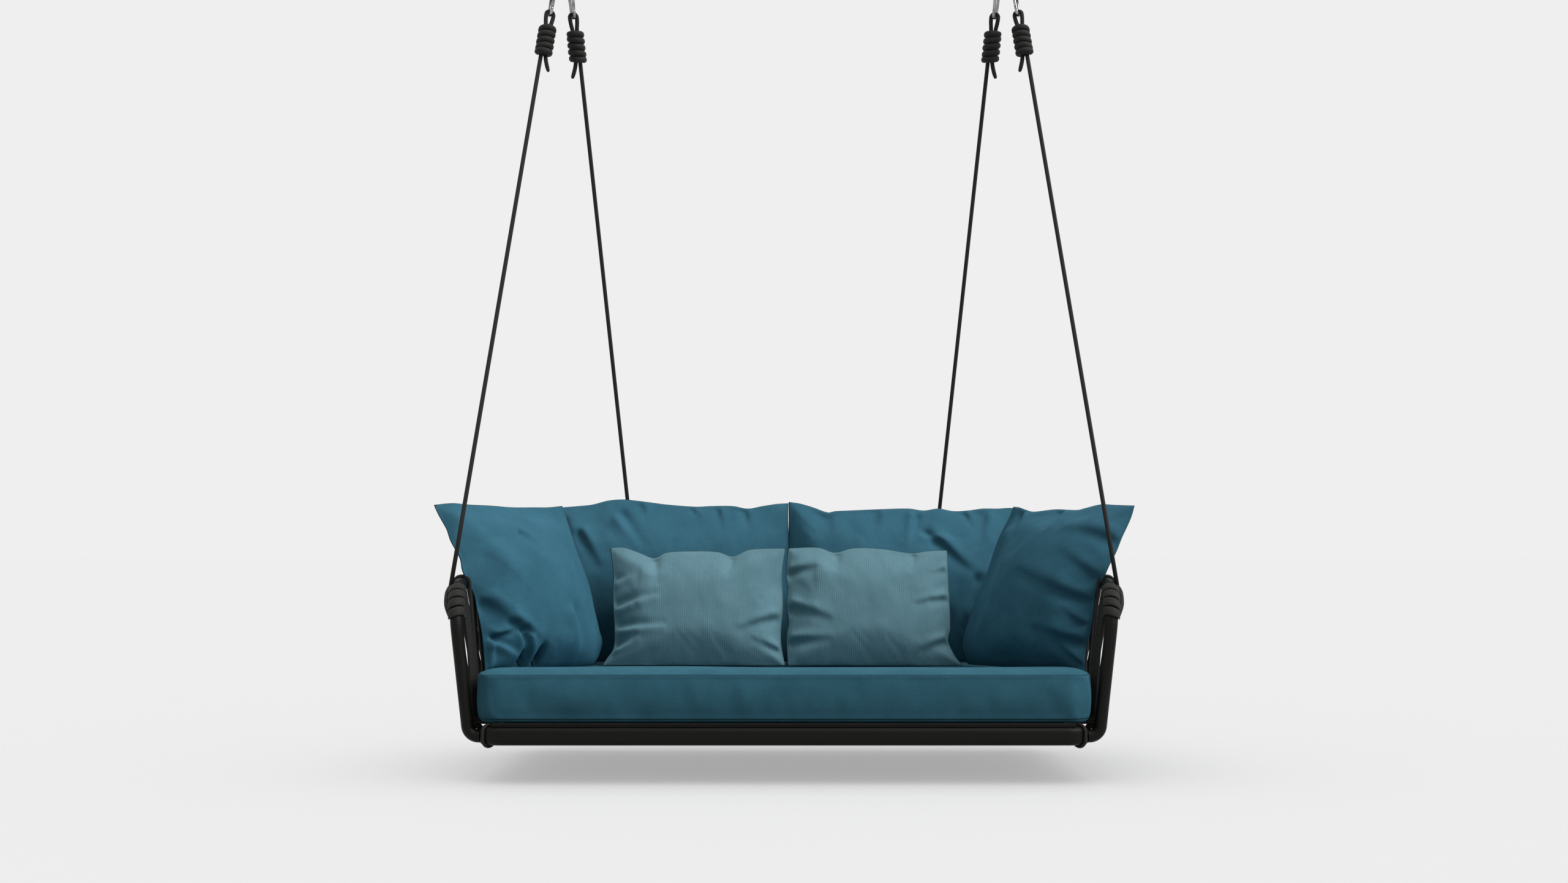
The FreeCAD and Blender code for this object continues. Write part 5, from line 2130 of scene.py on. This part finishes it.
@dataclass
class Upholstery:
    """The seat cushion and the loose cushions on it."""

    back_size: tuple[float, float, float] = (0.754, 0.462, 0.200)
    back_gap: float = 0.012
    back_foot: float = 0.282
    back_lean: float = 0.100
    lumbar_size: tuple[float, float, float] = (0.506, 0.334, 0.124)
    lumbar_gap: float = 0.006
    lumbar_foot: float = 0.098
    lumbar_lean: float = 0.086
    corner_size: tuple[float, float, float] = (0.400, 0.448, 0.140)
    corner_outer: tuple[float, float] = (0.836, -0.190)
    corner_inner: tuple[float, float] = (0.586, 0.104)
    corner_tip: tuple[float, float] = (0.150, 0.030)
    corner_top: tuple[float, float] = (0.084, 0.084)
    outer_ease: float = 0.02
    inner_ease: float = 0.24
    sink: float = 0.020
    levels: tuple[float, ...] = (0.0, 0.07, 0.2, 0.4, 0.6, 0.8, 0.93, 1.0)
    tips: tuple[float, ...] = (0.0, 0.02, 0.06, 0.1, 0.22, 0.6, 0.88, 1.0)
    tops: tuple[float, ...] = (0.0, -0.2, -0.35, -0.2, 0.2, 0.6, 0.9, 1.0)

    def upright(self, x: float, foot: float, lean: float, height: float) -> Callable[[float], Vector]:
        """Draws the side edge of a leaning cushion."""
        return lambda up: spot(x, foot + lean * up, self.level(height, up))

    def back(self, side: Side) -> Pillow:
        """Plans a back cushion.

        Args:
            side: The sofa's end.

        Returns:
            The cushion.
        """
        width, height, depth = self.back_size
        ends = sorted((side.value * self.back_gap / 2, side.value * (self.back_gap / 2 + width)))
        left, right = (self.upright(x, self.back_foot, self.back_lean, height) for x in ends)
        return Pillow(f"back_cushion_{side.word}", width, height, depth, left, right, Slot.CLOTH, 0.6,
                      back_share=0.86, cell=0.0105, outline=BACK_OUTLINES[side], folds=BACK_FOLDS[side])

    def lumbar(self, side: Side) -> Pillow:
        """Plans a lumbar cushion.

        Args:
            side: The sofa's end.

        Returns:
            The cushion.
        """
        width, height, depth = self.lumbar_size
        ends = sorted((side.value * self.lumbar_gap / 2, side.value * (self.lumbar_gap / 2 + width)))
        left, right = (self.upright(x, self.lumbar_foot, self.lumbar_lean, height) for x in ends)
        return Pillow(f"lumbar_cushion_{side.word}", width, height, depth, left, right, Slot.LUMBAR, 0.55,
                      cell=0.008, outline=LUMBAR_OUTLINES[side], folds=LUMBAR_FOLDS[side])

    def level(self, height: float, up: float) -> float:
        """Finds the height of a place on a cushion that sinks a little into the seat."""
        return PAD_TOP - self.sink + (height + self.sink) * up

    def outer_edge(self, side: Side, up: float) -> Vector:
        """Finds a place on a corner cushion's outer edge, which leans out over the arm.

        Args:
            side: The sofa's end.
            up: Share of the height.

        Returns:
            The place in the part's frame.
        """
        tip = table(self.levels, self.tips, up)
        return spot(side.value * (self.corner_outer[0] + self.corner_tip[0] * tip),
                    self.corner_outer[1] + self.corner_tip[1] * tip, self.level(self.corner_size[1], up))

    def inner_edge(self, side: Side, up: float) -> Vector:
        """Finds a place on a corner cushion's inner edge, which lies against the back.

        Args:
            side: The sofa's end.
            up: Share of the height.

        Returns:
            The place in the part's frame.
        """
        top = table(self.levels, self.tops, up)
        return spot(side.value * (self.corner_inner[0] + self.corner_top[0] * top),
                    self.corner_inner[1] + self.corner_top[1] * up, self.level(self.corner_size[1], up))

    def corner(self, side: Side) -> Pillow:
        """Plans a corner cushion, whose top leans out over the arm.

        Args:
            side: The sofa's end.

        Returns:
            The cushion.
        """
        width, height, depth = self.corner_size
        outer, inner = partial(self.outer_edge, side), partial(self.inner_edge, side)
        left, right = (outer, inner) if side is Side.LEFT else (inner, outer)
        eases = (self.outer_ease, self.inner_ease)
        eases = eases if side is Side.LEFT else eases[::-1]
        return Pillow(f"corner_cushion_{side.word}", width, height, depth, left, right, Slot.CLOTH, 0.55,
                      eases=eases, cell=0.008, outline=CORNER_OUTLINES[side], folds=CORNER_FOLDS[side])

    def build(self, palette: Palette) -> None:
        """Makes the upholstery.

        Args:
            palette: The finishes.
        """
        seat = SeatCushion().build(palette)
        surface = SeatSurface(BVHTree.FromObject(seat, bpy.context.evaluated_depsgraph_get()))
        for side in Side:
            self.back(side).build(palette.cloth, surface)
            self.lumbar(side).build(palette.lumbar, surface)
            self.corner(side).build(palette.cloth, surface)


@dataclass
class Hardware:
    """The frame, fixings and slats, which keep their CAD shapes and take finishes."""

    nodes: dict[str, bpy.types.Object]

    def dress(self, palette: Palette) -> None:
        """Gives every CAD node its finish.

        Args:
            palette: The finishes.
        """
        by_start = {"ceiling_bracket": palette.fixing, "pivot_": palette.fixing,
                    "carabiner": palette.polished, "gate_rivets": palette.polished,
                    "seat_slats": palette.wood}
        for name, node in self.nodes.items():
            found = [finish for start, finish in by_start.items() if name.startswith(start)]
            finish = found[0] if found else palette.paint
            node.data.materials.clear()
            node.data.materials.append(finish)
        log.info("finishes on %d CAD nodes", len(self.nodes))


# Studio


@dataclass
class Studio:
    """The pale floor, the soft light and the camera."""

    floor_z: float = -2.293
    backdrop: float = 0.863
    sky: float = 0.34
    key: float = 2.65
    key_way: tuple[float, float, float] = (-0.62, 0.34, -0.70)
    key_spread: float = 38.0
    overhead: float = 0.58
    overhead_spread: float = 80.0
    floor_shine: float = 0.43
    floor_reach: float = 40.0
    floor_back: float = 20.0
    floor_tones: tuple[float, float] = (0.915, 0.925)
    floor_bounce: float = 0.4
    camera_place: tuple[float, float, float] = (0.0, -5.1333, -1.647)
    sensor: float = 36.0
    lens: float = 40.23
    rise: float = 0.0635

    def camera(self) -> None:
        """Sets the camera at the photograph's place."""
        data = bpy.data.cameras.new("camera")
        data.sensor_fit = "HORIZONTAL"
        data.sensor_width = self.sensor
        data.lens = self.lens
        data.shift_y = self.rise
        camera = bpy.data.objects.new("camera", data)
        camera.location = self.camera_place
        camera.rotation_euler = (math.radians(90.0), 0.0, 0.0)
        bpy.context.scene.collection.objects.link(camera)
        bpy.context.scene.camera = camera

    def sun(self, name: str, strength: float, towards: tuple[float, float, float],
            spread: float) -> bpy.types.Object:
        """Adds a soft, even light.

        Args:
            name: The lamp's name.
            strength: Its strength.
            towards: Direction in which it shines.
            spread: Its width in degrees.

        Returns:
            The lamp.
        """
        data = bpy.data.lights.new(name, "SUN")
        data.energy = strength
        data.angle = math.radians(spread)
        lamp = bpy.data.objects.new(name, data)
        lamp.rotation_mode = "QUATERNION"
        lamp.rotation_quaternion = Vector(towards).to_track_quat("-Z", "Y")
        bpy.context.scene.collection.objects.link(lamp)
        return lamp

    def seen(self, tree: bpy.types.NodeTree) -> bpy.types.NodeSocket:
        """Tells rays that show the backdrop from those that only light the object.

        Args:
            tree: The nodes to add to.

        Returns:
            1 for camera, glossy and transmission rays.
        """
        path = tree.nodes.new("ShaderNodeLightPath")
        total = path.outputs["Is Camera Ray"]
        for name in ("Is Glossy Ray", "Is Transmission Ray"):
            add = tree.nodes.new("ShaderNodeMath")
            add.operation = "MAXIMUM"
            tree.links.new(total, add.inputs[0])
            tree.links.new(path.outputs[name], add.inputs[1])
            total = add.outputs[0]
        return total

    def world(self) -> None:
        """Sets the sky: plain soft light, seen as the pale backdrop."""
        world = bpy.data.worlds.new("studio")
        world.use_nodes = True
        tree = world.node_tree
        light = tree.nodes["Background"]
        light.inputs["Color"].default_value = (1.0, 1.0, 1.0, 1.0)
        light.inputs["Strength"].default_value = self.sky
        shown = tree.nodes.new("ShaderNodeBackground")
        shown.inputs["Color"].default_value = (self.backdrop, self.backdrop, self.backdrop, 1.0)
        choose = tree.nodes.new("ShaderNodeMixShader")
        tree.links.new(self.seen(tree), choose.inputs[0])
        tree.links.new(light.outputs[0], choose.inputs[1])
        tree.links.new(shown.outputs[0], choose.inputs[2])
        tree.links.new(choose.outputs[0], tree.nodes["World Output"].inputs["Surface"])
        bpy.context.scene.world = world

    def floor(self) -> bpy.types.Object:
        """Lays the floor, which shines a little for the camera so that its shadow stays pale.

        Returns:
            The floor.
        """
        shape = bmesh.new()
        bmesh.ops.create_grid(shape, x_segments=1, y_segments=1, size=self.floor_reach)
        bmesh.ops.translate(shape, vec=(0.0, self.floor_back, self.floor_z), verts=shape.verts)
        mesh = bpy.data.meshes.new("floor")
        shape.to_mesh(mesh)
        shape.free()
        floor = bpy.data.objects.new("floor", mesh)
        bpy.context.scene.collection.objects.link(floor)
        shader = Shader("pale_floor")
        tone = shader.cloud(shader.place(), 3.0)
        seen = self.seen(shader.tree)
        pale = shader.mix(tone, *((grey, grey, grey) for grey in self.floor_tones))
        colour = shader.mix(seen, (self.floor_bounce, self.floor_bounce, self.floor_bounce), pale)
        shine = self.backdrop * self.floor_shine
        shader.feed(shader.surface, {"Base Color": colour, "Roughness": 0.9, "Specular IOR Level": 0.0,
                                     "Emission Color": (shine, shine, shine, 1.0), "Emission Strength": seen})
        mesh.materials.append(shader.material)
        return floor

    def build(self) -> None:
        """Sets up the studio, with the slanted key light kept off the floor."""
        bpy.context.scene.view_settings.view_transform = "Standard"
        self.camera()
        self.world()
        floor = self.floor()
        key = self.sun("key", self.key, self.key_way, self.key_spread)
        self.sun("overhead", self.overhead, (0.0, 0.0, -1.0), self.overhead_spread)
        unlit = bpy.data.collections.new("unlit_by_key")
        unlit.objects.link(floor)
        unlit.collection_objects[0].light_linking.link_state = "EXCLUDE"
        key.light_linking.receiver_collection = unlit


def main() -> None:
    """Builds the scene."""
    logging.basicConfig(level=logging.INFO, format="%(name)s %(message)s")
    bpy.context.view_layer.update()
    palette = Palette.mixed()
    Studio().build()
    Hardware(frame["nodes"]).dress(palette)
    Suspension().build(palette)
    Netting().build(palette)
    SeatTrim().build(palette)
    Upholstery().build(palette)
    bpy.context.view_layer.update()


if __name__ == "__main__":
    main()
